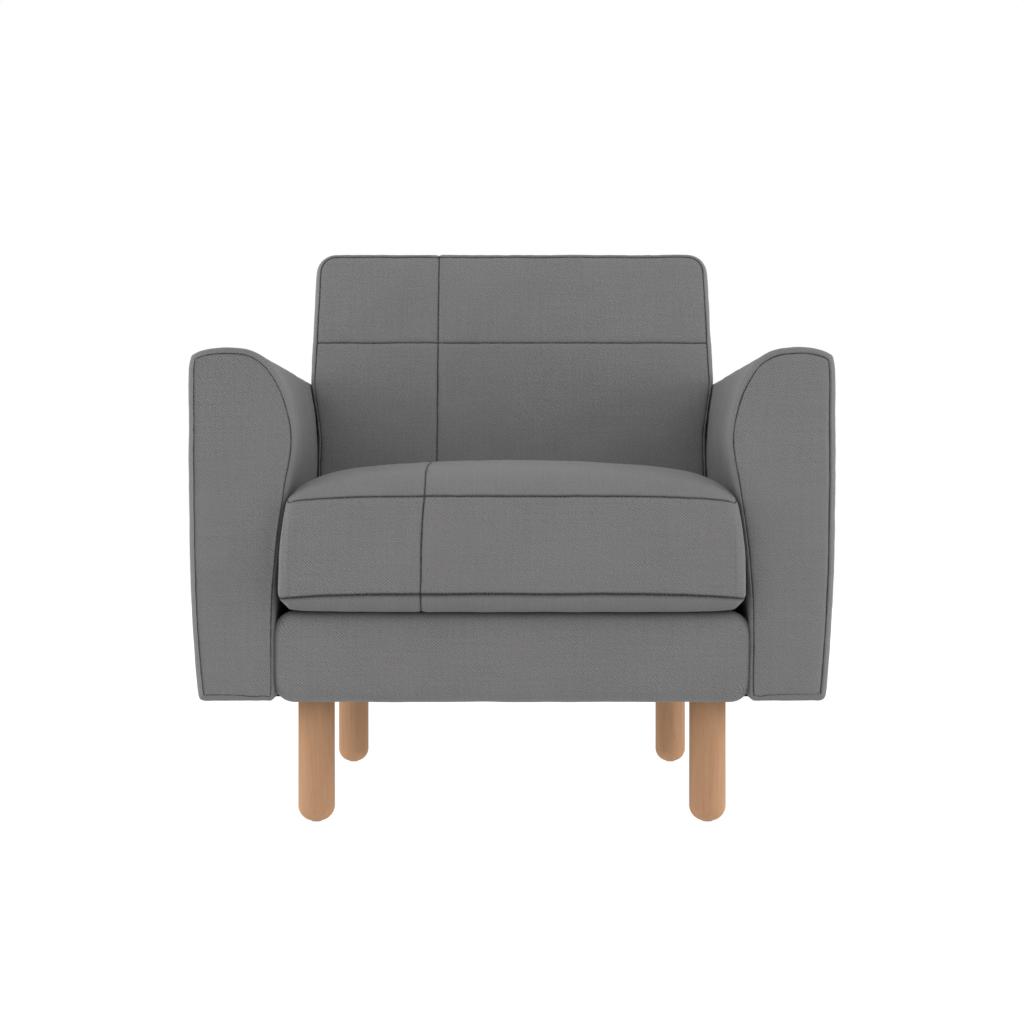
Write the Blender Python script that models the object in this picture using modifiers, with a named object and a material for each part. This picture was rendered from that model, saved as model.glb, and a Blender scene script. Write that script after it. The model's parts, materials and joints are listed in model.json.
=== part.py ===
"""Upholstered armchair.

A wooden frame on four turned legs carries a sprung seat, two padded arms and a padded raked back,
all covered in cloth, and a loose box cushion with a zip.
Metres, +Z up, the front faces -Y, and the origin is on the floor under the middle of the chair.
Left and right are as seen from the front. Places along the depth are given as distances behind the
front of the arms, and the function at_depth turns them into Y.
"""

import math

import bmesh
import bpy
from mathutils import Vector

# Overall sizes
WIDTH = 0.840             # over both arms
UNDERSIDE = 0.1685        # lowest edge of the covers
ARM_TOP = 0.6255          # highest line of the arms
BACK_TOP = 0.824          # top edge of the back
REACH_LOW = 0.722         # rear face behind the arm fronts, at the underside
REACH_TOP = 0.788         # rear face behind the arm fronts, at the top of the back
SEAT_DEPTH = 0.502        # front face of the back behind the arm fronts, at seat height
CUSHION_PROUD = 0.018     # the cushion stands this far in front of the arms

# Cloth, foam and the air between neighbours
CLOTH = 0.0025
GAP = 0.0005              # between pieces that touch on the real chair
SLACK = 0.0020            # between covers that rub

# Arms
ARM_THICK = 0.115         # from the outer wall to the seat side of the foot
ARM_FOAM = 0.015          # front and side padding
ARM_TOP_FOAM = 0.035
ARM_POST = 0.030          # post size along the depth
ARM_RAIL = 0.040          # height of the top and bottom rails
PANEL = 0.003             # hardboard
FOOT_TAPER = 0.014        # the outer wall leans in by this at the foot

# Seat base
BASE_TOP = 0.2845         # top of the front border and of the deck
RAIL = 0.024              # front and side rails
REAR_RAIL = 0.0175
RAIL_TOP = 0.262
RAIL_CHAMFER = 0.009      # keeps the rails clear of the border's rounded foot
BORDER_FOAM = 0.015
BORDER_RETURN = 0.052     # the border cover turns back this far
BORDER_ROUND = 0.014
BLOCK_LEG = 0.075         # corner block along each rail
BLOCK_HEIGHT = 0.050
DECK = 0.004
DUST_COVER = 0.0012

# Springs
SPRING_COUNT = 5
SPRING_WIRE = 0.0036
SPRING_LOOP = 0.050       # across the zigzag
SPRING_PITCH = 0.058      # along the spring, one full wave
SPRING_RISE = 0.0125

# Back
BACK_BEND = 0.440         # the face is upright below this height and raked above
BACK_FACE_TOP = 0.616     # front face behind the arm fronts, at the top of the back
BACK_CORNER = 0.022
BACK_EDGE = 0.008
BACK_POST = 0.024
BACK_POST_LOW = 0.082     # post along the depth, up to the bend
BACK_POST_TOP = 0.072
BACK_RAIL_HEIGHT = 0.045
STRAP = 0.0016
STRAP_HEIGHT = 0.060
STRAP_COUNT = 4
OUTER_PANEL = 0.003

# Seat cushion
CUSHION_SEAM_TOP = 0.436
CUSHION_CROWN = 0.050
CUSHION_DRAW = 0.008      # the sides draw in by this at the seams, and the ends by half of it
CUSHION_ROOM = 0.0085     # from the cushion's widest line to the seat side of the arm
CUSHION_BEHIND = 0.012    # room behind the cushion for the zip slider
ZIP_INSET = 0.0665        # the zip stops this far from the cushion's corners
ZIP_TAPE = 0.024
ZIP_THICK = 0.0018
ZIP_COIL = 0.0045
ZIP_COIL_HEIGHT = 0.0016
SLIDER_LENGTH = 0.013
SLIDER_WIDTH = 0.010
SLIDER_WALL = 0.0014
PULL_LENGTH = 0.026

# Legs
LEG_RADIUS = 0.0242
LEG_CENTRE_X = 0.2623
LEG_FRONT = 0.086         # leg centres behind the arm fronts
LEG_REAR = 0.686
LEG_END_ROUND = 0.0205
BOLT_RADIUS = 0.004
BOLT_LENGTH = 0.070
BOLT_IN_LEG = 0.036
GLIDE_RADIUS = 0.0075
GLIDE_THICK = 0.0025
GLIDE_PIN = 0.0012
GLIDE_PIN_LENGTH = 0.012

# Worked out from the sizes above
HALF = WIDTH / 2
SEAT_SIDE = HALF - ARM_THICK                       # the arm's seat side, at the foot
FRONT = CUSHION_PROUD - (CUSHION_PROUD + REACH_TOP) / 2
FRAME_BOTTOM = UNDERSIDE + CLOTH + GAP
CUSHION_BOTTOM = BASE_TOP + SLACK
LEG_TOP = FRAME_BOTTOM - DUST_COVER - 2 * GAP
FRONT_RAIL_FACE = CLOTH + BORDER_FOAM + 2 * GAP
FRONT_RAIL_BACK = FRONT_RAIL_FACE + RAIL
SIDE_RAIL_OUTER = SEAT_SIDE - SLACK - CLOTH - 2 * GAP
SIDE_RAIL_INNER = SIDE_RAIL_OUTER - RAIL
REAR_RAIL_BACK = REACH_LOW - OUTER_PANEL - 2 * GAP - 0.002
REAR_RAIL_FACE = REAR_RAIL_BACK - REAR_RAIL
SIDES = ((-1, "left"), (1, "right"))

CLOTH_GREY = (0.175, 0.172, 0.173)
BEECH = (0.479, 0.270, 0.162)
PINE = (0.560, 0.400, 0.235)
FOAM = (0.800, 0.740, 0.560)
ZINC = (0.560, 0.570, 0.580)
BLACK = (0.020, 0.020, 0.022)
NYLON = (0.060, 0.055, 0.050)
WEB = (0.085, 0.080, 0.075)
HARDBOARD = (0.250, 0.150, 0.085)


def at_depth(depth):
    """Y of a place this far behind the front of the arms."""
    return FRONT + depth


def clear_scene():
    for old in list(bpy.data.objects):
        bpy.data.objects.remove(old, do_unlink=True)


def new_collection(name):
    collection = bpy.data.collections.new(name)
    bpy.context.scene.collection.children.link(collection)
    return collection


def material(name, colour, roughness, metallic=0.0):
    made = bpy.data.materials.get(name)
    if made is None:
        made = bpy.data.materials.new(name)
        made.use_nodes = True
        shader = made.node_tree.nodes["Principled BSDF"]
        shader.inputs["Base Color"].default_value = (*colour, 1.0)
        shader.inputs["Roughness"].default_value = roughness
        shader.inputs["Metallic"].default_value = metallic
        made.diffuse_color = (*colour, 1.0)
    return made


def finish_materials():
    return {
        "cloth": material("cover_cloth", CLOTH_GREY, 0.95),
        "beech": material("leg_beech", BEECH, 0.45),
        "pine": material("frame_pine", PINE, 0.70),
        "board": material("hardboard", HARDBOARD, 0.80),
        "foam": material("foam", FOAM, 0.95),
        "zinc": material("zinc_steel", ZINC, 0.35, 1.0),
        "black": material("black_cambric", BLACK, 0.95),
        "nylon": material("nylon", NYLON, 0.40),
        "web": material("elastic_web", WEB, 0.90),
    }


def put(name, data, finish, collection):
    """A named object of this mesh or curve in the collection."""
    made = bpy.data.objects.new(name, data)
    collection.objects.link(made)
    if finish is not None:
        made.data.materials.append(finish)
    return made


def mesh_from(name, bm):
    mesh = bpy.data.meshes.new(name)
    bm.to_mesh(mesh)
    bm.free()
    return mesh


def box(name, low, high, finish, collection):
    """A box between two corners, its origin at its centre."""
    bm = bmesh.new()
    bmesh.ops.create_cube(bm, size=1.0)
    size = [h - l for l, h in zip(low, high)]
    bmesh.ops.scale(bm, vec=size, verts=bm.verts)
    made = put(name, mesh_from(name, bm), finish, collection)
    made.location = [(l + h) / 2 for l, h in zip(low, high)]
    return made


def rounded_box(name, low, high, radius, finish, collection):
    made = box(name, low, high, finish, collection)
    bevel = made.modifiers.new("rounded_edges", "BEVEL")
    bevel.width = radius
    bevel.segments = 2
    bevel.limit_method = "NONE"
    return made


def rod(name, centre, radius, length, finish, collection, sides=16):
    """An upright round rod."""
    bm = bmesh.new()
    bmesh.ops.create_cone(
        bm, cap_ends=True, segments=sides, radius1=radius, radius2=radius, depth=length
    )
    made = put(name, mesh_from(name, bm), finish, collection)
    made.location = centre
    made.data.shade_smooth()
    made.data.set_sharp_from_angle(angle=math.radians(40))
    return made


def as_mesh(made, finish, collection):
    """The same object as a mesh with welded caps, so that a Boolean can cut it."""
    bpy.context.view_layer.update()
    evaluated = made.evaluated_get(bpy.context.evaluated_depsgraph_get())
    mesh = bpy.data.meshes.new_from_object(evaluated)
    bm = bmesh.new()
    bm.from_mesh(mesh)
    bmesh.ops.remove_doubles(bm, verts=bm.verts, dist=0.00001)
    bm.to_mesh(mesh)
    bm.free()
    name, matrix = made.name, made.matrix_world.copy()
    bpy.data.objects.remove(made)
    mesh.materials.clear()
    solid = put(name, mesh, finish, collection)
    solid.matrix_world = matrix
    return solid


def board(name, outline, thickness, plane, centre, finish, collection):
    """A flat board: outline in its own plane, XY, XZ or YZ, and where its mid-plane lies across it."""
    curve = bpy.data.curves.new(name, "CURVE")
    curve.dimensions = "2D"
    curve.fill_mode = "BOTH"
    curve.extrude = thickness / 2
    spline = curve.splines.new("POLY")
    spline.points.add(len(outline) - 1)
    for point, (a, b) in zip(spline.points, outline):
        point.co = (a, b, 0.0, 1.0)
    spline.use_cyclic_u = True
    made = put(name, curve, finish, collection)
    if plane == "YZ":
        made.rotation_euler = (math.pi / 2, 0.0, math.pi / 2)
        made.location = (centre, 0.0, 0.0)
    elif plane == "XZ":
        made.rotation_euler = (math.pi / 2, 0.0, 0.0)
        made.location = (0.0, centre, 0.0)
    else:
        made.location = (0.0, 0.0, centre)
    return as_mesh(made, finish, collection)


def cut(target, cutter, name="cut"):
    modifier = target.modifiers.new(name, "BOOLEAN")
    modifier.operation = "DIFFERENCE"
    modifier.solver = "EXACT"
    modifier.object = cutter
    return modifier


def cutter(made):
    made.hide_render = True
    made.display_type = "WIRE"
    return made


def thicken(made, thickness):
    """Turns an open skin into cloth of this thickness, inside the skin."""
    modifier = made.modifiers.new("cloth", "SOLIDIFY")
    modifier.thickness = thickness
    modifier.offset = -1.0
    modifier.use_even_offset = True
    return modifier


def smooth_through(anchors, steps):
    """Points of a Catmull-Rom curve through the anchors, steps to a span."""
    ends = [anchors[0], *anchors, anchors[-1]]
    points = []
    for i in range(1, len(ends) - 2):
        a, b, c, d = (Vector(p) for p in ends[i - 1:i + 3])
        for k in range(steps):
            t = k / steps
            points.append(
                0.5 * (2 * b + (c - a) * t + (2 * a - 5 * b + 4 * c - d) * t**2
                       + (3 * b - a - 3 * c + d) * t**3)
            )
    return points + [Vector(anchors[-1])]


def inset(points, distance):
    """An open outline moved inwards, to the left of its run, by this distance."""
    moved = []
    for i, point in enumerate(points):
        along = points[min(i + 1, len(points) - 1)] - points[max(i - 1, 0)]
        normal = Vector((-along.y, along.x)).normalized()
        moved.append(point + normal * distance)
    return moved


# Rear face of the chair: one raked plane behind the arms and the back

RAKE = (REACH_TOP - REACH_LOW) / (BACK_TOP - UNDERSIDE)


def rear_face(z):
    return REACH_LOW + RAKE * (z - UNDERSIDE)


# Arms

def arm_anchors(beside_back):
    """Anchors of the arm's section, from the foot's outer corner over the top to its seat side.

    The seat side bulges at the front, and is flat where the back sits between the arms.
    """
    bulge = [(0.0, 0.0), (-0.0045, 0.0), (-0.0145, 0.0), (-0.0245, 0.0), (-0.0165, 0.0045),
             (0.0085, 0.0145)]
    wall = [pair[1 if beside_back else 0] for pair in bulge]
    return [
        (HALF - FOOT_TAPER - 0.008, UNDERSIDE),
        (HALF - FOOT_TAPER, UNDERSIDE + 0.010),
        (HALF - 0.005, UNDERSIDE + 0.130),
        (HALF - 0.0008, ARM_TOP - 0.220),
        (HALF - 0.0004, ARM_TOP - 0.120),
        (HALF - 0.0006, ARM_TOP - 0.036),
        (HALF - 0.0045, ARM_TOP - 0.0165),
        (HALF - 0.0165, ARM_TOP - 0.0058),
        (HALF - 0.0345, ARM_TOP - 0.0012),
        (SEAT_SIDE + 0.058, ARM_TOP),
        (SEAT_SIDE + 0.034, ARM_TOP - 0.0015),
        (SEAT_SIDE + wall[5], ARM_TOP - 0.0155),
        (SEAT_SIDE + wall[4], ARM_TOP - 0.0685),
        (SEAT_SIDE + wall[3], ARM_TOP - 0.1205),
        (SEAT_SIDE + wall[2], ARM_TOP - 0.1855),
        (SEAT_SIDE + wall[1], BASE_TOP + 0.085),
        (SEAT_SIDE + wall[0], BASE_TOP + 0.010),
        (SEAT_SIDE + 0.0010, UNDERSIDE + 0.055),
        (SEAT_SIDE + 0.0005, UNDERSIDE + 0.010),
        (SEAT_SIDE + 0.0085, UNDERSIDE),
    ]


def arm_sections(distance):
    """Three rings of points, front to rear, inset by this distance, for the right arm.

    An inset form also stops this distance above the underside.
    """
    lowest = UNDERSIDE + distance if distance else 0.0
    rings = []
    for depth, beside_back in ((0.0, False), (SEAT_DEPTH, True), (None, True)):
        anchors = [Vector(anchor) for anchor in arm_anchors(beside_back)]
        outline = smooth_through(inset(anchors, distance), 3)
        ring = []
        for x, z in outline:
            if depth is None:
                y = at_depth(rear_face(z) - distance)
            else:
                y = at_depth(max(depth, distance))
            ring.append(Vector((x, y, max(z, lowest))))
        rings.append(ring)
    return rings


def arm_skin(side, distance, closed):
    """The arm's outer surface at this inset: open under the foot, or closed there as well."""
    bm = bmesh.new()
    rings = [
        [bm.verts.new((side * p.x, p.y, p.z)) for p in ring] for ring in arm_sections(distance)
    ]
    for near, far in zip(rings, rings[1:]):
        for i in range(len(near) - 1):
            bm.faces.new((near[i], far[i], far[i + 1], near[i + 1]))
        if closed:
            bm.faces.new((near[-1], far[-1], far[0], near[0]))
    bm.faces.new(rings[0])
    bm.faces.new(list(reversed(rings[-1])))
    bmesh.ops.recalc_face_normals(bm, faces=bm.faces)
    return bm


def arm_frame_box():
    """Low and high corners of the room inside the right arm's padding."""
    padding = CLOTH + ARM_FOAM + GAP
    low = (SEAT_SIDE + padding + GAP, at_depth(padding), UNDERSIDE - 0.020)
    high = (HALF - FOOT_TAPER - padding, at_depth(REACH_TOP + 0.050), ARM_TOP - CLOTH - ARM_TOP_FOAM)
    return low, high


def make_arm(side, label, finish, parts, helpers):
    cover = put(f"{label}_arm_cover", mesh_from("arm_cover", arm_skin(side, 0.0, False)),
                finish["cloth"], parts)
    thicken(cover, CLOTH)
    across = sorted((side * (SEAT_SIDE - 0.010), side * (SEAT_SIDE + 0.030)))
    notch = box(f"{label}_arm_notch",
                (across[0], at_depth(BORDER_RETURN - GAP), UNDERSIDE - 0.010),
                (across[1], at_depth(REAR_RAIL_BACK + GAP), FRAME_BOTTOM), None, helpers)
    cut(cover, cutter(notch))

    low, high = arm_frame_box()
    pad = put(f"{label}_arm_pad", mesh_from("arm_pad", arm_skin(side, CLOTH + 3 * GAP, True)),
              finish["foam"], parts)
    ends = sorted((side * low[0], side * high[0]))
    room = box(f"{label}_arm_room", (ends[0], low[1], low[2]), (ends[1], high[1], high[2]),
               None, helpers)
    cut(pad, cutter(room))

    inner, outer, top = low[0] + GAP, high[0] - GAP, high[2] - GAP
    face = low[1] - FRONT + GAP
    posts_inner, posts_outer = inner + PANEL + GAP, outer - PANEL - GAP

    def arm_box(name, x_low, x_high, y_low, y_high, z_low, z_high, made_of):
        across = sorted((side * x_low, side * x_high))
        return box(f"{label}_{name}", (across[0], at_depth(y_low), z_low),
                   (across[1], at_depth(y_high), z_high), made_of, parts)

    arm_box("arm_front_post", posts_inner, posts_outer, face, face + ARM_POST,
            FRAME_BOTTOM, top, finish["pine"])
    rear_post_face = REACH_LOW - CLOTH - 2 * GAP - ARM_POST

    def rear_edge(z):
        return at_depth(rear_face(z) - CLOTH - 2 * GAP)

    outline = [
        (at_depth(rear_post_face), FRAME_BOTTOM),
        (rear_edge(FRAME_BOTTOM), FRAME_BOTTOM),
        (rear_edge(top), top),
        (at_depth(rear_post_face), top),
    ]
    board(f"{label}_arm_rear_post", outline, posts_outer - posts_inner, "YZ",
          side * (posts_inner + posts_outer) / 2, finish["pine"], parts)

    rail_front, rail_rear = face + ARM_POST + GAP, rear_post_face - GAP
    arm_box("arm_top_rail", posts_inner, posts_outer, rail_front, rail_rear,
            top - ARM_RAIL, top, finish["pine"])
    arm_box("arm_bottom_rail", posts_inner, posts_outer, rail_front, rail_rear,
            FRAME_BOTTOM, FRAME_BOTTOM + ARM_RAIL, finish["pine"])
    panel_rear = rear_post_face + ARM_POST
    arm_box("arm_inner_panel", inner, inner + PANEL, face, panel_rear, FRAME_BOTTOM, top,
            finish["board"])
    arm_box("arm_outer_panel", outer - PANEL, outer, face, panel_rear, FRAME_BOTTOM, top,
            finish["board"])


# Seat base

def make_border(finish, parts):
    """The padded border across the front: a cover open behind, its foam and the rail inside."""
    reach = SEAT_SIDE - SLACK
    bm = bmesh.new()
    bmesh.ops.create_cube(bm, size=1.0)
    bmesh.ops.scale(bm, vec=(2 * reach, BORDER_RETURN, BASE_TOP - UNDERSIDE), verts=bm.verts)
    middle = (0.0, at_depth(BORDER_RETURN / 2), (BASE_TOP + UNDERSIDE) / 2)
    bmesh.ops.translate(bm, vec=middle, verts=bm.verts)
    behind = [f for f in bm.faces if f.normal.y > 0.5]
    bmesh.ops.delete(bm, geom=behind, context="FACES_ONLY")
    along_depth = [e for e in bm.edges if abs((e.verts[0].co - e.verts[1].co).y) > 0.001]
    bmesh.ops.bevel(bm, geom=along_depth, offset=BORDER_ROUND, segments=3, profile=0.5,
                    affect="EDGES")
    front_edges = [e for e in bm.edges if all(v.co.y < at_depth(0.0001) for v in e.verts)]
    bmesh.ops.bevel(bm, geom=front_edges, offset=BORDER_ROUND / 2, segments=2, profile=0.5,
                    affect="EDGES")
    cover = put("front_border_cover", mesh_from("front_border_cover", bm), finish["cloth"], parts)
    thicken(cover, CLOTH)

    side = SEAT_SIDE - SLACK - CLOTH - BORDER_ROUND / 2
    box("front_border_pad", (-side, at_depth(CLOTH + GAP), UNDERSIDE + CLOTH + BORDER_ROUND / 2),
        (side, at_depth(FRONT_RAIL_FACE - GAP), BASE_TOP - CLOTH - BORDER_ROUND / 2),
        finish["foam"], parts)


def corner_block(label, end, side, depth_face, towards, finish, parts, helpers):
    """A glued block in a corner of the seat frame, bored for the leg's bolt."""
    corner_x, corner_y = SIDE_RAIL_INNER - GAP, depth_face + towards * GAP
    blunt = BLOCK_LEG / 3
    outline = [
        (corner_x, corner_y),
        (corner_x, corner_y + towards * BLOCK_LEG),
        (corner_x - blunt, corner_y + towards * BLOCK_LEG),
        (corner_x - BLOCK_LEG, corner_y + towards * blunt),
        (corner_x - BLOCK_LEG, corner_y),
    ]
    placed = [(side * x, at_depth(y)) for x, y in outline]
    block = board(f"{end}_{label}_corner_block", placed, BLOCK_HEIGHT, "XY",
                  FRAME_BOTTOM + BLOCK_HEIGHT / 2, finish["pine"], parts)
    leg_depth = LEG_FRONT if towards > 0 else LEG_REAR
    bore = rod(f"{end}_{label}_block_bore", (side * leg_x(), at_depth(leg_depth), FRAME_BOTTOM),
               BOLT_RADIUS + GAP, 4 * BLOCK_HEIGHT, None, helpers)
    cut(block, cutter(bore))


def leg_x():
    """Leg centres keep their distance from the side rails."""
    return LEG_CENTRE_X + SIDE_RAIL_INNER - 0.2765


def make_seat_frame(finish, parts, helpers):
    reach = SIDE_RAIL_OUTER
    lifted = FRAME_BOTTOM + RAIL_CHAMFER
    outline = [
        (-reach, lifted), (-reach + RAIL_CHAMFER, FRAME_BOTTOM),
        (reach - RAIL_CHAMFER, FRAME_BOTTOM), (reach, lifted), (reach, RAIL_TOP), (-reach, RAIL_TOP),
    ]
    board("front_rail", outline, RAIL, "XZ", at_depth((FRONT_RAIL_FACE + FRONT_RAIL_BACK) / 2),
          finish["pine"], parts)
    box("rear_rail", (-SIDE_RAIL_INNER + GAP, at_depth(REAR_RAIL_FACE), FRAME_BOTTOM),
        (SIDE_RAIL_INNER - GAP, at_depth(REAR_RAIL_BACK), RAIL_TOP), finish["pine"], parts)
    for side, label in SIDES:
        outline = [
            (side * SIDE_RAIL_INNER, FRAME_BOTTOM), (side * (reach - RAIL_CHAMFER), FRAME_BOTTOM),
            (side * reach, lifted), (side * reach, RAIL_TOP), (side * SIDE_RAIL_INNER, RAIL_TOP),
        ]
        near, far = FRONT_RAIL_BACK + GAP, post_face(FRAME_BOTTOM) - GAP
        board(f"{label}_side_rail", outline, far - near, "XZ", at_depth((near + far) / 2),
              finish["pine"], parts)
        corner_block(label, "front", side, FRONT_RAIL_BACK, 1, finish, parts, helpers)
        corner_block(label, "rear", side, REAR_RAIL_FACE, -1, finish, parts, helpers)


def make_springs(finish, parts):
    """Zigzag springs from the front rail to the rear rail, arched up under the deck."""
    start = FRONT_RAIL_BACK - 0.012
    end = REAR_RAIL_FACE + 0.010
    waves = int((end - start) / SPRING_PITCH)
    steps = 6 * waves
    spacing = 2 * SIDE_RAIL_INNER / SPRING_COUNT
    for i in range(SPRING_COUNT):
        centre = (i - (SPRING_COUNT - 1) / 2) * spacing
        curve = bpy.data.curves.new(f"seat_spring_{i + 1}", "CURVE")
        curve.dimensions = "3D"
        curve.bevel_depth = SPRING_WIRE / 2
        curve.bevel_resolution = 1
        curve.use_fill_caps = True
        spline = curve.splines.new("POLY")
        spline.points.add(steps)
        for k, point in enumerate(spline.points):
            t = k / steps
            phase = 2 * math.pi * waves * t
            sway = math.sin(phase)
            x = centre + SPRING_LOOP / 2 * math.copysign(abs(sway) ** 0.7, sway)
            depth = start + (end - start) * t
            z = RAIL_TOP + GAP + SPRING_WIRE / 2 + SPRING_RISE * math.sin(math.pi * t)
            point.co = (x, at_depth(depth), z, 1.0)
        put(f"seat_spring_{i + 1}", curve, finish["zinc"], parts)


def make_deck(finish, parts):
    reach = SEAT_SIDE - SLACK - 0.003
    box("seat_deck", (-reach, at_depth(BORDER_RETURN + GAP), BASE_TOP - DECK),
        (reach, at_depth(REAR_RAIL_FACE - BACK_POST_LOW), BASE_TOP), finish["black"], parts)


def make_dust_cover(finish, parts, helpers):
    """The cambric under the whole chair: two ears reach forward under the arms' feet."""
    reach = HALF - FOOT_TAPER - 0.012
    ear, tip, step = SEAT_SIDE + 0.014, CLOTH + 5 * GAP, BORDER_RETURN + GAP
    outline = [
        (reach, tip), (reach, REAR_RAIL_BACK), (-reach, REAR_RAIL_BACK), (-reach, tip),
        (-ear, tip), (-ear, step), (ear, step), (ear, tip),
    ]
    top = FRAME_BOTTOM - GAP
    sheet = board("dust_cover", [(x, at_depth(y)) for x, y in outline], DUST_COVER, "XY",
                  top - DUST_COVER / 2, finish["black"], parts)
    for side, label in SIDES:
        for end, depth in (("front", LEG_FRONT), ("rear", LEG_REAR)):
            hole = rod(f"{end}_{label}_dust_hole", (side * leg_x(), at_depth(depth), top),
                       BOLT_RADIUS + GAP, 0.02, None, helpers)
            cut(sheet, cutter(hole), f"{end}_{label}_hole")


# Back

def face_depth(z):
    """Front face of the back: upright beside the cushion, raked above it."""
    raked = (BACK_FACE_TOP - SEAT_DEPTH) / (BACK_TOP - BACK_BEND)
    return SEAT_DEPTH + raked * max(0.0, z - BACK_BEND)


def back_half_width(z):
    """The back is squeezed between the arms and spreads above them."""
    narrow, wide = SEAT_SIDE - SLACK - GAP, SEAT_SIDE + 0.0095
    t = min(1.0, max(0.0, (z - (ARM_TOP - 0.095)) / 0.080))
    return narrow + (wide - narrow) * t * t * (3 - 2 * t)


def corner_drop(z, radius, top):
    """How far a corner of this radius has turned in at height z."""
    above = z - (top - radius)
    return radius - math.sqrt(max(0.0, radius**2 - above**2)) if above > 0 else 0.0


def back_levels(top, corner):
    """Heights of the back's sections, closer together where its outline turns."""
    low = BASE_TOP + 0.0035
    levels = [low, (low + BACK_BEND) / 2, BACK_BEND]
    levels += [ARM_TOP - drop for drop in (0.095, 0.070, 0.050, 0.030, 0.010)]
    levels += [(ARM_TOP + top) / 2]
    turns = 4
    for k in range(turns + 1):
        levels.append(top - corner * (1 - math.sin(math.pi / 2 * k / turns)))
    return sorted(levels)


def back_sections(distance, rear):
    """Rectangles (half width, front Y, rear Y, height) up the back, inset by this distance."""
    top, corner = BACK_TOP - distance, BACK_CORNER - distance
    sections = []
    for z in back_levels(top, corner):
        turned = corner_drop(z, corner, top)
        edge = BACK_EDGE / BACK_CORNER * turned
        half = back_half_width(z) - distance - turned
        sections.append((half, at_depth(face_depth(z) + distance + edge), at_depth(rear(z) - edge), z))
    return sections


def stack(sections, open_rear_and_bottom):
    """A skin over stacked rectangles; the cover of the back is open behind and below."""
    bm = bmesh.new()
    rings = [
        [bm.verts.new(p) for p in ((-w, far, z), (-w, near, z), (w, near, z), (w, far, z))]
        for w, near, far, z in sections
    ]
    for low, high in zip(rings, rings[1:]):
        for i in range(3 if open_rear_and_bottom else 4):
            k = (i + 1) % 4
            bm.faces.new((low[i], low[k], high[k], high[i]))
    bm.faces.new(rings[-1])
    if not open_rear_and_bottom:
        bm.faces.new(list(reversed(rings[0])))
    bmesh.ops.recalc_face_normals(bm, faces=bm.faces)
    return bm


def post_face(z):
    """Front edge of the back posts."""
    low = REAR_RAIL_BACK - BACK_POST_LOW
    top = REACH_TOP - BACK_POST_TOP - OUTER_PANEL
    return low + (top - low) * max(0.0, z - BACK_BEND) / (BACK_TOP - BACK_BEND)


def post_rear(z):
    return rear_face(z) - OUTER_PANEL - 2 * GAP - 0.002


def make_back(finish, parts):
    cover = put("back_cover", mesh_from("back_cover", stack(back_sections(0.0, rear_face), True)),
                finish["cloth"], parts)
    thicken(cover, CLOTH)

    def pad_rear(z):
        return post_face(z) - STRAP - 2 * GAP

    pad = stack(back_sections(CLOTH + GAP, pad_rear), False)
    put("back_pad", mesh_from("back_pad", pad), finish["foam"], parts)

    post_top = BACK_TOP - CLOTH - BACK_CORNER / 3
    outline = [
        (at_depth(post_face(FRAME_BOTTOM)), FRAME_BOTTOM),
        (at_depth(post_rear(FRAME_BOTTOM)), FRAME_BOTTOM),
        (at_depth(post_rear(post_top)), post_top),
        (at_depth(post_face(post_top)), post_top),
        (at_depth(post_face(BACK_BEND)), BACK_BEND),
    ]
    for side, label in SIDES:
        board(f"{label}_back_post", outline, BACK_POST, "YZ",
              side * (SIDE_RAIL_OUTER - BACK_POST / 2), finish["pine"], parts)

    reach = SIDE_RAIL_OUTER - BACK_POST - GAP

    def cross_rail(name, low, deep):
        high = low + BACK_RAIL_HEIGHT
        slope = [
            (at_depth(post_rear(low) - deep), low),
            (at_depth(post_rear(low)), low),
            (at_depth(post_rear(high)), high),
            (at_depth(post_rear(high) - deep), high),
        ]
        board(name, slope, 2 * reach, "YZ", 0.0, finish["pine"], parts)

    cross_rail("back_top_rail", post_top - BACK_RAIL_HEIGHT, RAIL)
    cross_rail("back_lower_rail", BASE_TOP + 0.030, RAIL)

    strap_low, strap_high = BASE_TOP + 0.085, post_top - 0.020 - STRAP_HEIGHT
    for i in range(STRAP_COUNT):
        low = strap_low + (strap_high - strap_low) * i / (STRAP_COUNT - 1)
        if low < BACK_BEND < low + STRAP_HEIGHT:
            low = BACK_BEND
        high = low + STRAP_HEIGHT
        slope = [
            (at_depth(post_face(low) - GAP - STRAP), low),
            (at_depth(post_face(low) - GAP), low),
            (at_depth(post_face(high) - GAP), high),
            (at_depth(post_face(high) - GAP - STRAP), high),
        ]
        board(f"back_strap_{i + 1}", slope, 2 * (SIDE_RAIL_OUTER - GAP), "YZ", 0.0,
              finish["web"], parts)
    make_outer_panel(finish, parts)


def make_outer_panel(finish, parts):
    """The cloth panel that closes the rear, between the arms below and inside the cover above."""
    seam = CLOTH + 2 * GAP
    top = BACK_TOP - seam
    corner = BACK_CORNER - seam
    heights = [UNDERSIDE, BACK_BEND] + [z for z in back_levels(top, corner) if z > BACK_BEND]
    edge = []
    for z in heights:
        half = back_half_width(z) - seam - corner_drop(z, corner, top)
        edge.append((half, z))
    bm = bmesh.new()
    rows = []
    for inward in (OUTER_PANEL + GAP, GAP):
        ring = [(x, z) for x, z in edge] + [(-x, z) for x, z in reversed(edge)]
        rows.append([bm.verts.new((x, at_depth(rear_face(z) - inward), z)) for x, z in ring])
    inner, outer = rows
    count = len(inner)
    for i in range(count):
        k = (i + 1) % count
        bm.faces.new((inner[i], inner[k], outer[k], outer[i]))
    bm.faces.new(list(reversed(inner)))
    bm.faces.new(outer)
    bmesh.ops.recalc_face_normals(bm, faces=bm.faces)
    put("back_outer_panel", mesh_from("back_outer_panel", bm), finish["cloth"], parts)


# Seat cushion

def cushion_half():
    return SEAT_SIDE - CUSHION_ROOM


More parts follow.
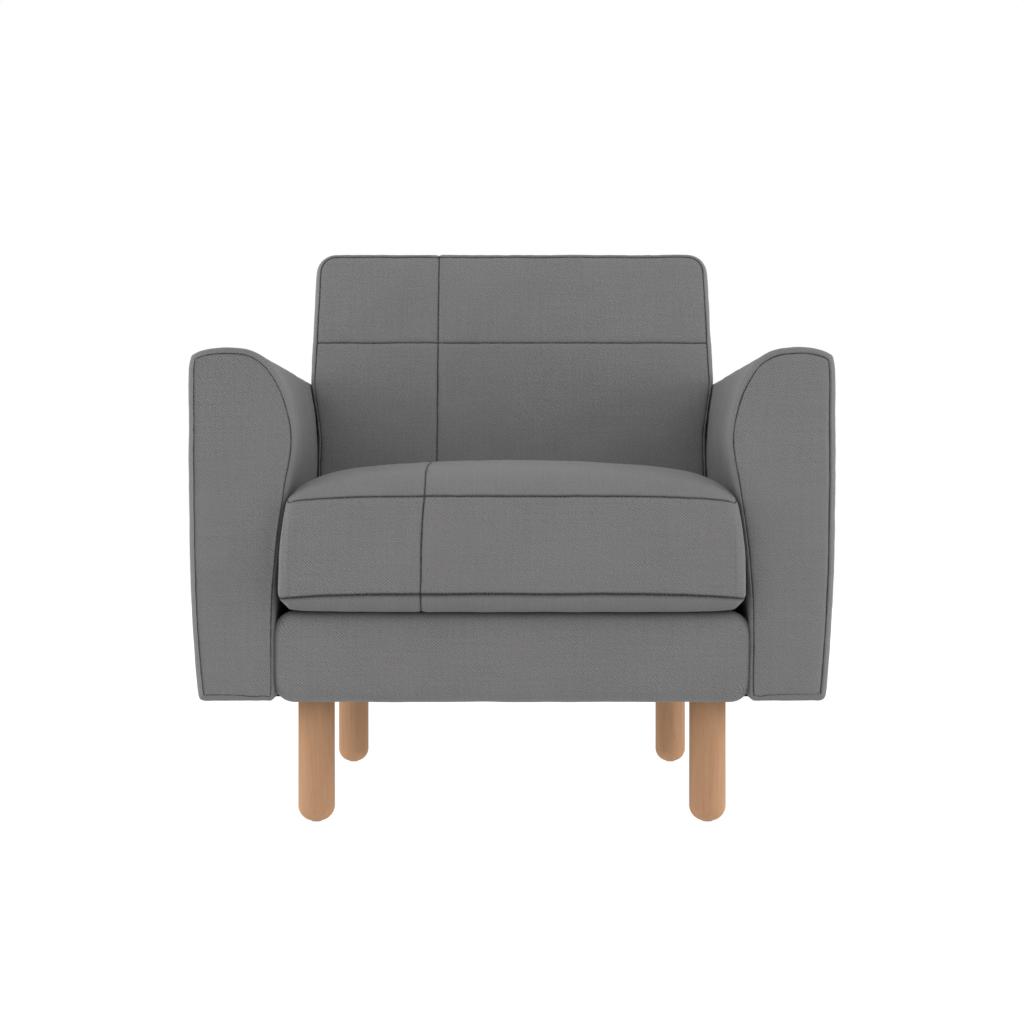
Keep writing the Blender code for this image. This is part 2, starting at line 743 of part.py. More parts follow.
def cushion_form(distance):
    """A crowned box cushion, inset by this distance: a cube whose grid is drawn to the form."""
    half_x = cushion_half() - distance
    front, rear = -CUSHION_PROUD + distance, SEAT_DEPTH - CUSHION_BEHIND - distance
    half_y, middle_y = (rear - front) / 2, (rear + front) / 2
    bottom, top = CUSHION_BOTTOM + distance, CUSHION_SEAM_TOP - distance
    bm = bmesh.new()
    bmesh.ops.create_cube(bm, size=2.0)
    bmesh.ops.subdivide_edges(bm, edges=bm.edges, cuts=7, use_grid_fill=True)
    for vert in bm.verts:
        p, q, r = (math.copysign(abs(c) ** 0.62, c) for c in vert.co)
        corner = 1 - 0.020 * (abs(p) * abs(q)) ** 8
        x = (half_x - CUSHION_DRAW * r * r) * p * corner
        y = (half_y - CUSHION_DRAW / 2 * r * r) * q * corner
        share = (r + 1) / 2
        crown = CUSHION_CROWN * share**3 * (1 - abs(p) ** 3) * (1 - abs(q) ** 3)
        vert.co = (x, at_depth(middle_y + y), bottom + (top - bottom) * share + crown)
    return bm


def zip_place():
    """Depth of the cushion's rear wall and height of the zip on it."""
    return SEAT_DEPTH - CUSHION_BEHIND, (CUSHION_BOTTOM + CUSHION_SEAM_TOP) / 2


def make_cushion(finish, parts, helpers):
    wall, middle = zip_place()
    cover = put("seat_cushion_cover", mesh_from("seat_cushion_cover", cushion_form(0.0)),
                finish["cloth"], parts)
    thicken(cover, CLOTH)
    length, height = cushion_half() - ZIP_INSET, ZIP_TAPE / 2
    slot = box("zip_slot", (-length, at_depth(wall - 3 * CLOTH), middle - height),
               (length, at_depth(wall + 0.010), middle + height), None, helpers)
    cut(cover, cutter(slot))
    put("seat_cushion_core", mesh_from("seat_cushion_core", cushion_form(CLOTH + GAP)),
        finish["foam"], parts)

    tape_face = wall - 0.0004
    tape = box("zip_tape", (-length + GAP, at_depth(tape_face - ZIP_THICK), middle - height + GAP),
               (length - GAP, at_depth(tape_face), middle + height - GAP), finish["nylon"], parts)
    coil = box("zip_coil", (-length + 0.004, at_depth(tape_face - ZIP_THICK / 2), middle - ZIP_COIL / 2),
               (length - 0.004, at_depth(tape_face + ZIP_COIL_HEIGHT), middle + ZIP_COIL / 2),
               None, helpers)
    joined = tape.modifiers.new("coil", "BOOLEAN")
    joined.operation = "UNION"
    joined.object = cutter(coil)

    start = -length + 0.004 + GAP + SLIDER_LENGTH
    crest = tape_face + ZIP_COIL_HEIGHT
    body = box("zip_slider", (start - SLIDER_LENGTH, at_depth(tape_face + GAP), middle - SLIDER_WIDTH / 2),
               (start, at_depth(crest + GAP + SLIDER_WALL), middle + SLIDER_WIDTH / 2),
               finish["zinc"], parts)
    groove = box("slider_groove", (start - 2 * SLIDER_LENGTH, at_depth(tape_face - 0.002),
                                   middle - ZIP_COIL / 2 - GAP),
                 (start + SLIDER_LENGTH, at_depth(crest + GAP), middle + ZIP_COIL / 2 + GAP),
                 None, helpers)
    cut(body, cutter(groove), "groove")
    pull = box("slider_pull", (start - SLIDER_LENGTH / 2 - 0.003, at_depth(crest + GAP + SLIDER_WALL / 2),
                               middle - PULL_LENGTH),
               (start - SLIDER_LENGTH / 2 + 0.003, at_depth(crest + GAP + SLIDER_WALL + 0.0016), middle),
               None, helpers)
    hung = body.modifiers.new("pull", "BOOLEAN")
    hung.operation = "UNION"
    hung.object = cutter(pull)


# Legs

def turned(name, profile, centre, finish, collection, steps=20):
    """A solid turned about the upright line through centre; profile is (radius, height) down the outside."""
    bm = bmesh.new()
    verts = [bm.verts.new((r, 0.0, z)) for r, z in profile]
    for a, b in zip(verts, verts[1:]):
        bm.edges.new((a, b))
    made = put(name, mesh_from(name, bm), finish, collection)
    screw = made.modifiers.new("turned", "SCREW")
    screw.axis = "Z"
    screw.steps = steps
    screw.render_steps = steps
    screw.use_merge_vertices = True
    screw.merge_threshold = 0.00005
    screw.use_smooth_shade = True
    made.location = centre
    return made


def leg_profile():
    """From the bolt hole at the top, down the outside and round the end, into the glide's pin hole."""
    bore, pin = BOLT_RADIUS + GAP, GLIDE_PIN + GAP
    foot = GLIDE_THICK + GAP
    flat = LEG_RADIUS - LEG_END_ROUND
    points = [
        (0.0, LEG_TOP - BOLT_IN_LEG), (bore, LEG_TOP - BOLT_IN_LEG), (bore, LEG_TOP),
        (LEG_RADIUS - 0.0015, LEG_TOP), (LEG_RADIUS, LEG_TOP - 0.0015),
    ]
    turns = 6
    for k in range(turns + 1):
        angle = math.pi / 2 * k / turns
        points.append((flat + LEG_END_ROUND * math.cos(angle),
                       foot + LEG_END_ROUND * (1 - math.sin(angle))))
    points += [(pin, foot), (pin, foot + GLIDE_PIN_LENGTH), (0.0, foot + GLIDE_PIN_LENGTH)]
    return points


def make_legs(finish, parts):
    for side, label in SIDES:
        for end, depth in (("front", LEG_FRONT), ("rear", LEG_REAR)):
            place = Vector((side * leg_x(), at_depth(depth), 0.0))
            turned(f"{end}_{label}_leg", leg_profile(), place, finish["beech"], parts)
            lift = LEG_TOP - BOLT_IN_LEG + GAP + BOLT_LENGTH / 2
            rod(f"{end}_{label}_leg_bolt", place + Vector((0, 0, lift)), BOLT_RADIUS, BOLT_LENGTH,
                finish["zinc"], parts, sides=12)
            glide = [
                (0.0, GLIDE_THICK + GLIDE_PIN_LENGTH - GAP),
                (GLIDE_PIN, GLIDE_THICK + GLIDE_PIN_LENGTH - GAP),
                (GLIDE_PIN, GLIDE_THICK), (GLIDE_RADIUS, GLIDE_THICK),
                (GLIDE_RADIUS, GLIDE_THICK / 3), (GLIDE_RADIUS - GLIDE_THICK / 3, 0.0), (0.0, 0.0),
            ]
            turned(f"{end}_{label}_glide", glide, place, finish["nylon"], parts, steps=12)


def main():
    clear_scene()
    parts = new_collection("armchair")
    helpers = new_collection("cutters")
    finish = finish_materials()
    for side, label in SIDES:
        make_arm(side, label, finish, parts, helpers)
    make_border(finish, parts)
    make_seat_frame(finish, parts, helpers)
    make_springs(finish, parts)
    make_deck(finish, parts)
    make_dust_cover(finish, parts, helpers)
    make_back(finish, parts)
    make_cushion(finish, parts, helpers)
    make_legs(finish, parts)


main()
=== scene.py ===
# %% [markdown]
# An upholstered armchair, made as a lesson.
#
# The chair's frame, springs and hardware come from its workshop model, loaded here as a fixed frame. This
# script makes what an upholsterer adds to it: padded arms, a padded back, a loose seat cushion, the cloth
# with its seams, and the turned legs. Every place is read from the frame's own boxes, so the cloth fits the
# wood.

# %% Load the frame
import json
import math

import bmesh
import bpy
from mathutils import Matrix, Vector, kdtree, noise


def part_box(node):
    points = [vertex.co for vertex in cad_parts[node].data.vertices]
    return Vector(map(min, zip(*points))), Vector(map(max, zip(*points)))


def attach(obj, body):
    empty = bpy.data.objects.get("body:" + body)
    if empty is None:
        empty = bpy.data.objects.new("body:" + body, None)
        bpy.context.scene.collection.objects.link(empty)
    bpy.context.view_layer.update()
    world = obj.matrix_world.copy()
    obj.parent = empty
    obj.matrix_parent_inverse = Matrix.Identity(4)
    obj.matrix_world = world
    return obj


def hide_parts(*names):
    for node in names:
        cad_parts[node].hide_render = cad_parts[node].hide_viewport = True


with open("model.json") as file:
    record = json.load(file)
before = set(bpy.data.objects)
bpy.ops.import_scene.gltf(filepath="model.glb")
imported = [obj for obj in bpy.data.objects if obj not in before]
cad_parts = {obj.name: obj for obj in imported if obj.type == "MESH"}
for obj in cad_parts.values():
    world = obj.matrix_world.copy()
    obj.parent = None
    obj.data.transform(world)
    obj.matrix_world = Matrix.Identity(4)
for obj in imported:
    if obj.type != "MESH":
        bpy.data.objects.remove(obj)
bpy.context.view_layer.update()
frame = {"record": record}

# %% [markdown]
# The main measures. Left and right are as seen from the front, where -Y points at the viewer. The plane of
# the arms' fronts is where the other depths are counted from, and the rear of the chair is one raked plane
# behind the arms and the back.

# %% Measures from the frame
arm_low, arm_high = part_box("right_arm_cover")
back_low, back_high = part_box("back_cover")
cushion_low, cushion_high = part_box("seat_cushion_cover")
border_low, border_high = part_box("front_border_cover")
panel_low, panel_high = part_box("back_outer_panel")

FRONT = arm_low.y
UNDERSIDE = border_low.z
BASE_TOP = border_high.z
ARM_TOP = arm_high.z
BACK_TOP = back_high.z
HALF = arm_high.x                    # outer wall of the arms
SEAT_SIDE = border_high.x + 0.002    # seat side of the arms, at the foot
LIP = 0.0016                         # half the width of a seam's groove
CELL = 0.0100                        # how far apart the loops of a padded piece lie
GAP, PANEL_THICK = 0.0005, 0.0030    # air between the frame's solids, and the outer panel's thickness


def rear_face(z):
    """Y of the chair's raked rear plane at a height."""
    rake = (panel_high.y - panel_low.y - PANEL_THICK) / (panel_high.z - panel_low.z)
    return panel_high.y + GAP + rake * (z - panel_high.z)


print("arm fronts at", round(FRONT, 4), "rear at the foot", round(rear_face(UNDERSIDE), 4),
      "and at the top", round(rear_face(BACK_TOP), 4))

# %% [markdown]
# Padded pieces start as a box cut into a grid of loops, which are then moved to where the cloth lies. The
# loops that become seams are known from the start, so a groove can follow them exactly. A remeshed form
# would lose them. The box is cut with one subdivision along each axis, and its corners are numbered by
# whole steps.

# %% A box cut into a grid of loops
def grid_box(steps):
    """A closed box whose vertices stand at whole numbers, from 0 to steps, along each axis."""
    bm = bmesh.new()
    bm.verts.layers.float.new("seam")
    bm.loops.layers.uv.new("cloth")
    bmesh.ops.create_cube(bm, size=1.0)
    bmesh.ops.translate(bm, verts=bm.verts, vec=(0.5, 0.5, 0.5))
    for axis, count in enumerate(steps):
        along = [e for e in bm.edges if abs(e.verts[0].co[axis] - e.verts[1].co[axis]) > 1e-6]
        bmesh.ops.subdivide_edges(bm, edges=along, cuts=count - 1)
    bmesh.ops.scale(bm, verts=bm.verts, vec=steps)
    return bm


def spread(low, high, count):
    """count + 1 even places from low to high."""
    return [low + (high - low) * i / count for i in range(count + 1)]


def loops_between(low, high, seams=()):
    """Places of the loops from low to high, with a groove at both ends and at each seam between them."""
    marks = [low, *sorted(seams), high]
    places = [low]
    for start, end in zip(marks, marks[1:]):
        count = max(1, round((end - start - 2 * LIP) / CELL))
        places += spread(start + LIP, end - LIP, count) + [end]
    return places


print("loops across 0.1 m with one seam:", len(loops_between(0.0, 0.1, [0.05])))

# %% [markdown]
# Outlines are given by a few points and smoothed with a Catmull-Rom curve, the way a flexible batten is
# bent round pins. The batten is then walked by its length, so that loops stand evenly along it, and four
# such lines are filled by a Coons patch, which spreads them over the panel between.

# %% Bend a line through pins, and walk along it
BATTEN_STEPS = 8        # points of the line from one pin to the next


def batten(pins):
    """A smooth line through the pins."""
    ends = [pins[0], *pins, pins[-1]]
    points = []
    for i in range(1, len(ends) - 2):
        a, b, c, d = (Vector(p) for p in ends[i - 1:i + 3])
        for k in range(BATTEN_STEPS):
            t = k / BATTEN_STEPS
            points.append(0.5 * (2 * b + (c - a) * t + (2 * a - 5 * b + 4 * c - d) * t ** 2
                                 + (3 * b - a - 3 * c + d) * t ** 3))
    return points + [Vector(pins[-1])]


def run_length(points):
    return sum((b - a).length for a, b in zip(points, points[1:]))


def at_share(points, shares):
    """The points at these rising shares of the line's length."""
    total, walked, i, found = run_length(points), 0.0, 0, []
    for share in shares:
        step = (points[i + 1] - points[i]).length
        while walked + step < share * total and i < len(points) - 2:
            walked += step
            i += 1
            step = (points[i + 1] - points[i]).length
        found.append(points[i].lerp(points[i + 1], min(1.0, max(0.0, (share * total - walked) / step))))
    return found


def ease(t):
    t = min(max(t, 0.0), 1.0)
    return t * t * (3 - 2 * t)


def patch(bottom, top, left, right, us, vs):
    """Coons patch: places[i][k] for each share us[i] across and vs[k] up."""
    low, high = at_share(bottom, us), at_share(top, us)
    near, far = at_share(left, vs), at_share(right, vs)
    return [[low[i].lerp(high[i], v) + near[k].lerp(far[k], u)
             - low[0].lerp(low[-1], u).lerp(high[0].lerp(high[-1], u), v)
             for k, v in enumerate(vs)] for i, u in enumerate(us)]


def rounding(radius, start, count):
    """(inset, depth) over a rounded edge, from a start angle in degrees to the flat wall behind it."""
    angles = [math.radians(a) for a in spread(start, 90.0, count)]
    return [(radius * (1 - math.sin(a)), radius * (1 - math.cos(a))) for a in angles]


def depth_run(edge, total, span):
    """Length of cloth from the front seam to each loop: a rounded edge, a flat span, a rounded edge."""
    steps = [math.dist(a, b) for a, b in zip(edge, edge[1:])]
    flat = span / (total - 2 * len(edge) + 2)
    runs = [0.0]
    for step in [*steps, *[flat] * (total - 2 * len(steps)), *steps[::-1]]:
        runs.append(runs[-1] + step)
    return runs


def round_corner(x, z, reach, top, radius):
    """Draws a square corner at (reach, top) in to a round one, keeping the loops in order."""
    over_x, over_z = abs(x) - (reach - radius), abs(z) - (top - radius)
    if over_x > 0 and over_z > 0:
        keep = max(over_x, over_z) / math.hypot(over_x, over_z)
        x = math.copysign(abs(x) - over_x * (1 - keep), x)
        z = math.copysign(abs(z) - over_z * (1 - keep), z)
    return x, z


print("a batten through three pins has", len(batten([(0, 0), (1, 1), (2, 0)])), "points")

# %% [markdown]
# Shared finishing of a padded piece. Real padding is foam under a cover cut slightly too large, held by its
# seams. A short Cloth pass does the same: seam vertices are pinned, the others are tied softly to their
# places as if glued to foam, a little pressure fills the cover and its spare width settles into soft
# unevenness. Afterwards each seam sinks into the foam, the mesh is subdivided once, and noise adds the
# larger part of the unevenness and small gathers by the seams.

# %% Fill the cover, sink the seams, pucker the cloth
PRESSURE, SPARE = 0.6, 0.004          # push of the filling, and the share by which the cover is cut too large
MOST_MOVE, HOLD = 0.003, 0.5          # how far a vertex may go, and how firmly it is glued to the foam
SETTLING = 20                         # frames of the Cloth pass
SEAM_DEPTH, UNEVEN, GATHERS = 0.0024, 0.0007, 0.0006


def fill_cover(piece):
    """Cloth pass with the result applied: no vertex moves further than MOST_MOVE."""
    mesh = piece.data
    before = [v.co.copy() for v in mesh.vertices]
    ties = piece.vertex_groups.new(name="ties")
    sewn = mesh.attributes["seam"].data
    for i, vert in enumerate(mesh.vertices):
        ties.add([i], 1.0 if sewn[i].value > 0.5 else HOLD, "REPLACE")
    cloth = piece.modifiers.new("filling", "CLOTH")
    cloth.settings.quality = 4
    cloth.settings.mass = 0.2
    cloth.settings.tension_stiffness = cloth.settings.compression_stiffness = 12.0
    cloth.settings.shear_stiffness = 6.0
    cloth.settings.bending_stiffness = 0.6
    cloth.settings.vertex_group_mass = ties.name
    cloth.settings.pin_stiffness = 1.0
    cloth.settings.shrink_min = -SPARE
    cloth.settings.use_pressure = True
    cloth.settings.uniform_pressure_force = PRESSURE
    cloth.settings.effector_weights.gravity = 0.0
    cloth.point_cache.frame_end = SETTLING
    for step in range(1, SETTLING + 1):
        bpy.context.scene.frame_set(step)
    settled = piece.evaluated_get(bpy.context.evaluated_depsgraph_get()).data
    moves = [after.co - co for after, co in zip(settled.vertices, before)]
    piece.modifiers.remove(cloth)
    piece.vertex_groups.remove(ties)
    for vert, co, move in zip(mesh.vertices, before, moves):
        vert.co = co + move * min(1.0, MOST_MOVE / max(move.length, 1e-9))
    bpy.context.scene.frame_set(1)
    lengths = [1000 * move.length for move in moves]
    print(piece.name, "filled: mean move", round(sum(lengths) / len(lengths), 2), "mm, most",
          round(max(lengths), 2), "mm")


def sink_seams(mesh):
    """Moves each seam vertex into the foam by its share of SEAM_DEPTH."""
    sewn = mesh.attributes["seam"].data
    normals = [v.normal.copy() for v in mesh.vertices]
    for vert, normal, mark in zip(mesh.vertices, normals, sewn):
        vert.co -= normal * SEAM_DEPTH * mark.value


def pucker(mesh):
    """Small unevenness over the whole cover, and gathers beside the seams."""
    sewn = mesh.attributes["seam"].data
    seam_points = [v.co.copy() for v, mark in zip(mesh.vertices, sewn) if mark.value > 0.4]
    tree = kdtree.KDTree(max(len(seam_points), 1))
    for i, point in enumerate(seam_points):
        tree.insert(point, i)
    tree.balance()
    normals = [v.normal.copy() for v in mesh.vertices]
    for vert, normal in zip(mesh.vertices, normals):
        co = vert.co
        move = UNEVEN * (0.65 * noise.noise(co * 17.0) + 0.35 * noise.noise(co * 48.0))
        if seam_points:
            beside = math.exp(-(tree.find(co)[2] / 0.013) ** 2)
            move += GATHERS * beside * noise.noise(co * 95.0)
        vert.co = co + normal * move + noise.noise_vector(co * 24.0) * UNEVEN * 0.9


def padded_piece(name, bm, body, nodes, settles=True):
    """Finishes a grid as a padded piece that rides on its body and stands for its CAD solids."""
    bmesh.ops.recalc_face_normals(bm, faces=bm.faces)
    mesh = bpy.data.meshes.new(name)
    bm.to_mesh(mesh)
    bm.free()
    piece = bpy.data.objects.new(name, mesh)
    bpy.context.scene.collection.objects.link(piece)
    if settles:
        fill_cover(piece)
    sink_seams(mesh)
    smoother = piece.modifiers.new("smoother", "SUBSURF")
    smoother.levels = smoother.render_levels = 1
    bpy.context.view_layer.update()
    fine = bpy.data.meshes.new_from_object(piece.evaluated_get(bpy.context.evaluated_depsgraph_get()))
    piece.modifiers.remove(smoother)
    piece.data = fine
    fine.name = name
    pucker(fine)
    fine.shade_smooth()
    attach(piece, body)
    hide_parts(*nodes)
    print(name, len(fine.polygons), "faces")
    return piece


def lay_map(bm, index, panel_of, place_of):
    """Gives every face corner its place on the cut cloth, in metres."""
    layer = bm.loops.layers.uv["cloth"]
    for face in bm.faces:
        steps = [index[v] for v in face.verts]
        flat = next(axis for axis in range(3) if len({s[axis] for s in steps}) == 1)
        panel = panel_of(flat, steps[0][flat])
        for loop in face.loops:
            loop[layer].uv = place_of(panel, index[loop.vert], loop.vert.co)


# %% [markdown]
# The arms. Each is a foam-covered box with a long strip of cloth over its top and sides, sewn to a flat
# panel at the front and another at the rear. The seat side swells at the front like a pillow and is flat
# where the back is squeezed between the arms. The outer wall leans in a little towards the foot. Under the
# foot the cloth turns in and stops, which leaves a shallow recess for the cloth that closes the chair's
# underside.

# %% The arm's section
def arm_pins(bulge):
    """Pins of the right arm's section, as four runs: outer wall, top, seat side and foot."""
    calm = 1 - bulge
    swell = [(0.0015, 0.0015), (-0.0045, 0.0), (-0.0145, 0.0), (-0.0245, 0.0), (-0.0165, 0.0045),
             (-0.0047, 0.0105), (0.0070, 0.0145)]      # seat side, upwards: where it swells most, and least
    wall = [SEAT_SIDE + most * bulge + least * calm for most, least in swell]
    outer = [(HALF - 0.0225, UNDERSIDE - 0.0014), (HALF - 0.0148, UNDERSIDE + 0.0030),
             (HALF - 0.0116, UNDERSIDE + 0.0130), (HALF - 0.0034, UNDERSIDE + 0.130),
             (HALF - 0.0006, ARM_TOP - 0.220), (HALF, ARM_TOP - 0.120), (HALF - 0.0004, ARM_TOP - 0.040),
             (HALF - 0.0018, ARM_TOP - 0.0175), (HALF - 0.0048, ARM_TOP - 0.0098)]
    top = [outer[-1], (HALF - 0.0125, ARM_TOP - 0.0042), (HALF - 0.0330, ARM_TOP + 0.0004),
           (SEAT_SIDE + 0.062, ARM_TOP + 0.0012), (SEAT_SIDE + 0.038, ARM_TOP - 0.0012),
           (SEAT_SIDE + 0.0200 + 0.0045 * calm, ARM_TOP - 0.0095 + 0.0040 * calm),
           (wall[6], ARM_TOP - 0.0205 + 0.0065 * calm)]
    seat_side = [top[-1], (wall[5], ARM_TOP - 0.0386 + 0.0060 * calm), (wall[4], ARM_TOP - 0.0685),
                 (wall[3], ARM_TOP - 0.1205), (wall[2], ARM_TOP - 0.1855), (wall[1], BASE_TOP + 0.085),
                 (wall[0], BASE_TOP + 0.010), (SEAT_SIDE + 0.0018, BASE_TOP - 0.040),
                 (SEAT_SIDE + 0.0020, UNDERSIDE + 0.0080), (SEAT_SIDE + 0.0085, UNDERSIDE - 0.0014)]
    foot = [seat_side[-1], (SEAT_SIDE + 0.055, UNDERSIDE - 0.0022), outer[0]]
    return outer, top, seat_side, foot


def arm_sides(bulge, inset):
    """The section drawn in by inset, as bottom, top, seat side and outer lines of a patch."""
    runs = arm_pins(bulge)
    closed = [Vector(pin) for run in runs for pin in run[:-1]]
    count = len(closed)
    moved = []
    for i, pin in enumerate(closed):
        run = closed[(i + 1) % count] - closed[i - 1]
        beside_seat = pin.x < SEAT_SIDE + 0.012       # the seat side is drawn in less than the rest
        share = 1 - 0.42 * ease((ARM_TOP - 0.020 - pin.y) / 0.080) * beside_seat
        moved.append(pin + Vector((-run.y, run.x)).normalized() * inset * share)
    line = batten([moved[-1], *moved, moved[0], moved[1]])[BATTEN_STEPS:-BATTEN_STEPS]
    marks = [0]
    for run in runs:
        marks.append(marks[-1] + (len(run) - 1) * BATTEN_STEPS)
    outer, top, seat_side, foot = (line[a:b + 1] for a, b in zip(marks, marks[1:]))
    return foot, top[::-1], seat_side[::-1], outer


front_wall = [(p.y, p.x) for p in arm_sides(1.0, 0.0)[2]]


def wall_at(z):
    """X of the arm's seat side at the front, where it swells most."""
    for (low, x_low), (high, x_high) in zip(front_wall, front_wall[1:]):
        if low <= z <= high:
            return x_low + (x_high - x_low) * (z - low) / (high - low)
    return SEAT_SIDE


print("the arm swells to", round(wall_at(ARM_TOP - 0.12), 4), "from", round(wall_at(BASE_TOP), 4))

# %% Make the arms
ARM_EDGE = rounding(0.0114, 13.0, 5)
ARM_EDGE.insert(1, (0.0070, 0.0010))      # one more loop close to the seam
ARM_DEPTH, ARM_FLAT = 0.75, 0.72          # front to rear, and the flat cloth between the two rounded edges
RECESS = 0.0042                           # depth of the recess for the cloth under the chair
dust_low, dust_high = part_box("dust_cover")


def foot_recess(x, y):
    """How far the foot's underside lifts, from 0 to 1, over the edges of the cloth under the chair."""
    outer = ease((dust_high.x + 0.0035 - x) / 0.005)
    front = ease((y - dust_low.y - 0.0080) / 0.005)
    rear = ease((dust_high.y + 0.0035 - y) / 0.005)
    inner = max(ease((x - SEAT_SIDE - 0.010) / 0.005), ease((y - border_high.y + 0.0015) / 0.005))
    return outer * front * rear * inner


def make_arm(side, label):
    across = loops_between(0.0, HALF - SEAT_SIDE)
    upright = loops_between(0.0, ARM_TOP - UNDERSIDE)
    us, vs = [a / across[-1] for a in across], [a / upright[-1] for a in upright]
    edge, middle = len(ARM_EDGE), 76
    total = 2 * edge + middle
    bm = grid_box((len(us) - 1, total, len(vs) - 1))
    mark = bm.verts.layers.float["seam"]
    index, sections = {}, {}
    for vert in bm.verts:
        i, j, k = index[vert] = tuple(round(c) for c in vert.co)
        near = min(j, total - j)
        inset, into = ARM_EDGE[near] if near < edge else (0.0, None)
        if j not in sections:
            along = 0.0 if j < edge else 1.0 if j > total - edge else (j - edge + 1) / (middle + 2)
            bulge = max(0.0, 1 - along * ARM_DEPTH / (back_low.y - FRONT))
            sections[j] = patch(*arm_sides(bulge, inset), us, vs)
        x, z = sections[j][i][k]
        if into is None:
            start, stop = FRONT + ARM_EDGE[-1][1], rear_face(z) - ARM_EDGE[-1][1]
            y = start + (stop - start) * (j - edge + 1) / (middle + 2)
        else:
            y = FRONT + into if j < edge else rear_face(z) - into
        rim = i in (0, len(us) - 1) or k in (0, len(vs) - 1)
        if j in (0, total):
            vert[mark] = 1.0 if rim else 0.0
            crown = 0.0026 * (1 - (2 * us[i] - 1) ** 4) * (1 - (2 * vs[k] - 1) ** 10)
            y += -crown if j == 0 else crown
        z += 0.4 * inset * max(0.0, 1 - (z - UNDERSIDE) / 0.05)
        z = max(z, UNDERSIDE + RECESS * foot_recess(x, y))
        vert.co = (side * x, y, z)

    foot, top, seat_side, outer = (run_length(line) for line in arm_sides(0.4, 0.0))
    run = depth_run(ARM_EDGE, total, ARM_FLAT)

    def place_of(panel, step, co):
        i, j, k = step
        if panel == "end":
            return co.x, co.z
        around = {"outer": vs[k] * outer, "top": outer + (1 - us[i]) * top,
                  "seat": outer + top + (1 - vs[k]) * seat_side, "foot": -(1 - us[i]) * foot}[panel]
        return run[j], side * around

    def panel_of(axis, step):
        return {0: "outer" if step else "seat", 1: "end", 2: "top" if step else "foot"}[axis]

    lay_map(bm, index, panel_of, place_of)
    return padded_piece(f"{label}_arm", bm, "chair", [f"{label}_arm_cover", f"{label}_arm_pad"])


arms = [make_arm(-1, "left"), make_arm(1, "right")]

# %% [markdown]
# The back. It is a padded board between the arms, a little wider above them, with a front panel and a strip
# of cloth round its top and sides. Two lines of stitching cross the front: one level, and one upright and
# off centre, which runs on over the top. At the rear the strip turns in, and a plain panel is sewn over the
# opening.

# %% The back's outline
BACK_EDGE = rounding(0.0060, 18.0, 4)
BACK_EDGE.insert(1, (0.0030, 0.0007))     # one more loop close to the seam
BACK_FLAT = 0.16                     # flat cloth between the two rounded edges
BACK_FOOT = back_low.z
LEVEL_STITCH, UPRIGHT_STITCH = 0.6835, -0.1175
CREST = BACK_TOP + 0.0030            # the padding stands a little over the frame
BEND = 0.440                         # height at which the back starts to lean
LEAN = (0.616 - 0.502) / (0.824 - 0.440)


def back_half(z):
    """Half the back's width: squeezed between the arms and spreading above them."""
    narrowing = min(1.0, max(0.0, (z - ARM_TOP + 0.020) / 0.190))
    return SEAT_SIDE - 0.0012 + 0.0130 * ease((z - (ARM_TOP - 0.105)) / 0.105) - 0.0050 * narrowing


def back_face(z):
    """Y of the back's front: upright beside the cushion and raked above it."""
    lift = z - BEND
    return back_low.y + LEAN * (lift + math.sqrt(lift ** 2 + 0.0004)) / 2


def make_back():
    half = back_half(BACK_TOP)
    xs = loops_between(-half, half, [UPRIGHT_STITCH])
    zs = loops_between(BACK_FOOT, CREST, [LEVEL_STITCH])
    edge, middle = len(BACK_EDGE), 14
    total = 2 * edge + middle
    bm = grid_box((len(xs) - 1, total, len(zs) - 1))
    mark = bm.verts.layers.float["seam"]
    index = {}
    for vert in bm.verts:
        i, j, k = index[vert] = tuple(round(c) for c in vert.co)
        near = min(j, total - j)
        inset, into = BACK_EDGE[near] if near < edge else (0.0, None)
        t = (j - edge + 1) / (middle + 2) if into is None else 0.0
        swell = math.sin(math.pi * t) ** 0.7
        share = (zs[k] - BACK_FOOT) / (CREST - BACK_FOOT)
        above_arms = ease((zs[k] - ARM_TOP + 0.085) / 0.085)
        reach = back_half(zs[k]) - inset + swell * (0.0008 + 0.0087 * above_arms)
        top = CREST - inset + 0.0035 * swell
        x = xs[i] * (1 + (reach / half - 1) * abs(xs[i] / half) ** 3)
        z = BACK_FOOT + share * (top - BACK_FOOT)
        x, z = round_corner(x, z, reach, top, 0.029 - inset)
        if into is None:
            start, stop = back_face(z) + BACK_EDGE[-1][1], rear_face(z) - BACK_EDGE[-1][1]
            y = start + (stop - start) * t
        else:
            y = back_face(z) + into if j < edge else rear_face(z) - into
        rim = i in (0, len(xs) - 1) or k in (0, len(zs) - 1)
        if j == 0:
            u, v = xs[i] / half, 2 * share - 1
            y -= 0.0050 * (1 - u ** 8) * (1 - v ** 10)
        elif j == total and not rim:
            y -= 0.0050
        on_front = j == 0 and (rim or zs[k] == LEVEL_STITCH)
        on_upright = xs[i] == UPRIGHT_STITCH and j < total - edge and k > 0
        vert[mark] = 1.0 if on_front or on_upright else 0.0
        vert.co = (x, y, z)

    run = depth_run(BACK_EDGE, total, BACK_FLAT)

    def place_of(panel, step, co):
        return {0: (run[step[1]], co.z), 1: (co.x, co.z), 2: (co.x, run[step[1]])}[panel]

    lay_map(bm, index, lambda axis, step: axis, place_of)
    return padded_piece("back_upholstery", bm, "chair", ["back_cover", "back_pad"])


back = make_back()

# %% [markdown]
# The seat cushion. It is a box cushion: a crowned top panel, a border all round, and a bottom panel that
# lies flat on the deck. Its seams drop towards the corners, where there is less filling. It has to slide
# out between the arms, so no point of it stands wider than the arms' seat side at that height.

